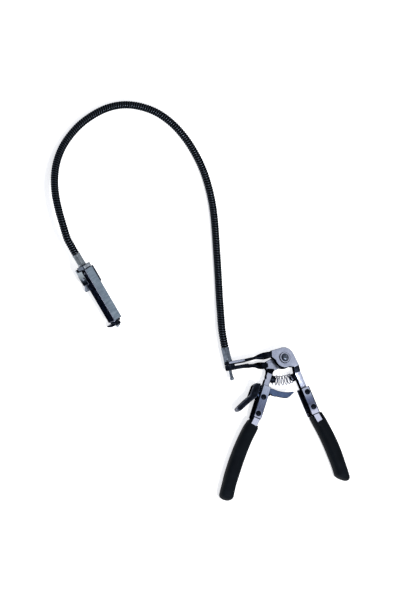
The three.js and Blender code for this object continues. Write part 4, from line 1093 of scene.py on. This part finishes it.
# The foot's bevels take the painted edge highlight.
finished("moving_jaw_foot", "black_oxide_steel", [BLACK, DARK_ZINC, EDGE_HIGHLIGHT], 0.35, 2,
         {"directions": (HEAD_ALONG, -HEAD_ALONG), "closeness": 0.96, "where": lambda c: c.z < 8})
finished("foot_screw", "zinc_steel", [ZINC], 0.2)
WIRE_FRAME = HEAD_FRAME @ Matrix.Translation((0, 0, WIRE_LEVEL))
make_wire("head_wire", WIRE_FRAME, -12.0, 85.2)
place_piece(turned("wire_nipple_finished", [
    (0, 85.5), (2.1, 85.5), (2.1, 87.6), (1.7, 88.6), (0.8, 88.9), (0, 88.9)], [ZINC],
    WIRE_FRAME @ Matrix.Rotation(math.radians(90), 4, "Y"), 0.3, 36), "zinc_steel", "wire_nipple")


def make_return_spring():
    """A long light spring round the wire inside the channel, pressed between the cap and the slider."""
    start, end, turns, count = 8.75, 61.25, 14, 560
    line = []
    for i in range(count + 1):
        share = i / count
        reached = share - 0.018 * math.sin(2 * math.pi * share)
        line.append(WIRE_FRAME @ Vector((start + (end - start) * reached, 0, 0)))
    spring = run_tree("return_spring_wound", COIL_TREE, line, Coil_radius=2.9 * MM, Turns=float(turns),
                      Wire_radius=0.45 * MM, Sides=8, Material=WIRE)
    place_piece(spring, "spring_steel", "return_spring")
    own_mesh(spring)


make_return_spring()

# the wire inside the hose isn't replaced, and takes the rope's finish
inner = NODES["inner_wire"]
inner.data.materials.clear()
inner.data.materials.append(ROPE)


# ---- floor and light -------------------------------------------------------------------------
def make_studio():
    low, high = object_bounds()
    size = 40.0  # far past the view's edges
    bottom = low.z - 0.0002
    floor = bpy.data.meshes.new("floor")
    floor.from_pydata([(x * size, y * size, bottom) for x, y in ((-1, -1), (1, -1), (1, 1), (-1, 1))], [],
                      [(0, 1, 2, 3)])
    floor.materials.append(pale_board())
    new_object("floor", floor)

    world = bpy.data.worlds.new("studio")
    bpy.context.scene.world = world
    world.use_nodes = True
    world.node_tree.nodes.clear()
    sky = add(world.node_tree, "ShaderNodeBackground", {"Color": linear("#f6f8fd"), "Strength": 0.5})
    add(world.node_tree, "ShaderNodeOutputWorld", {"Surface": sky.outputs[0]})

    centre = (low + high) / 2
    for name, direction, distance, side, power in (
        ("overhead_lamp", (0.14, -0.50, 0.86), 1.9, 0.35, 26),
        ("ceiling_panel", (0.35, 0.20, 0.915), 1.9, 2.8, 8),
    ):
        lamp = bpy.data.objects.new(name, bpy.data.lights.new(name, "AREA"))
        lamp.data.size, lamp.data.energy = side, power
        lamp.location = centre + Vector(direction).normalized() * distance
        lamp.rotation_euler = Vector(direction).to_track_quat("Z", "Y").to_euler()
        bpy.context.scene.collection.objects.link(lamp)


make_studio()
bpy.context.scene.view_settings.view_transform = "Standard"
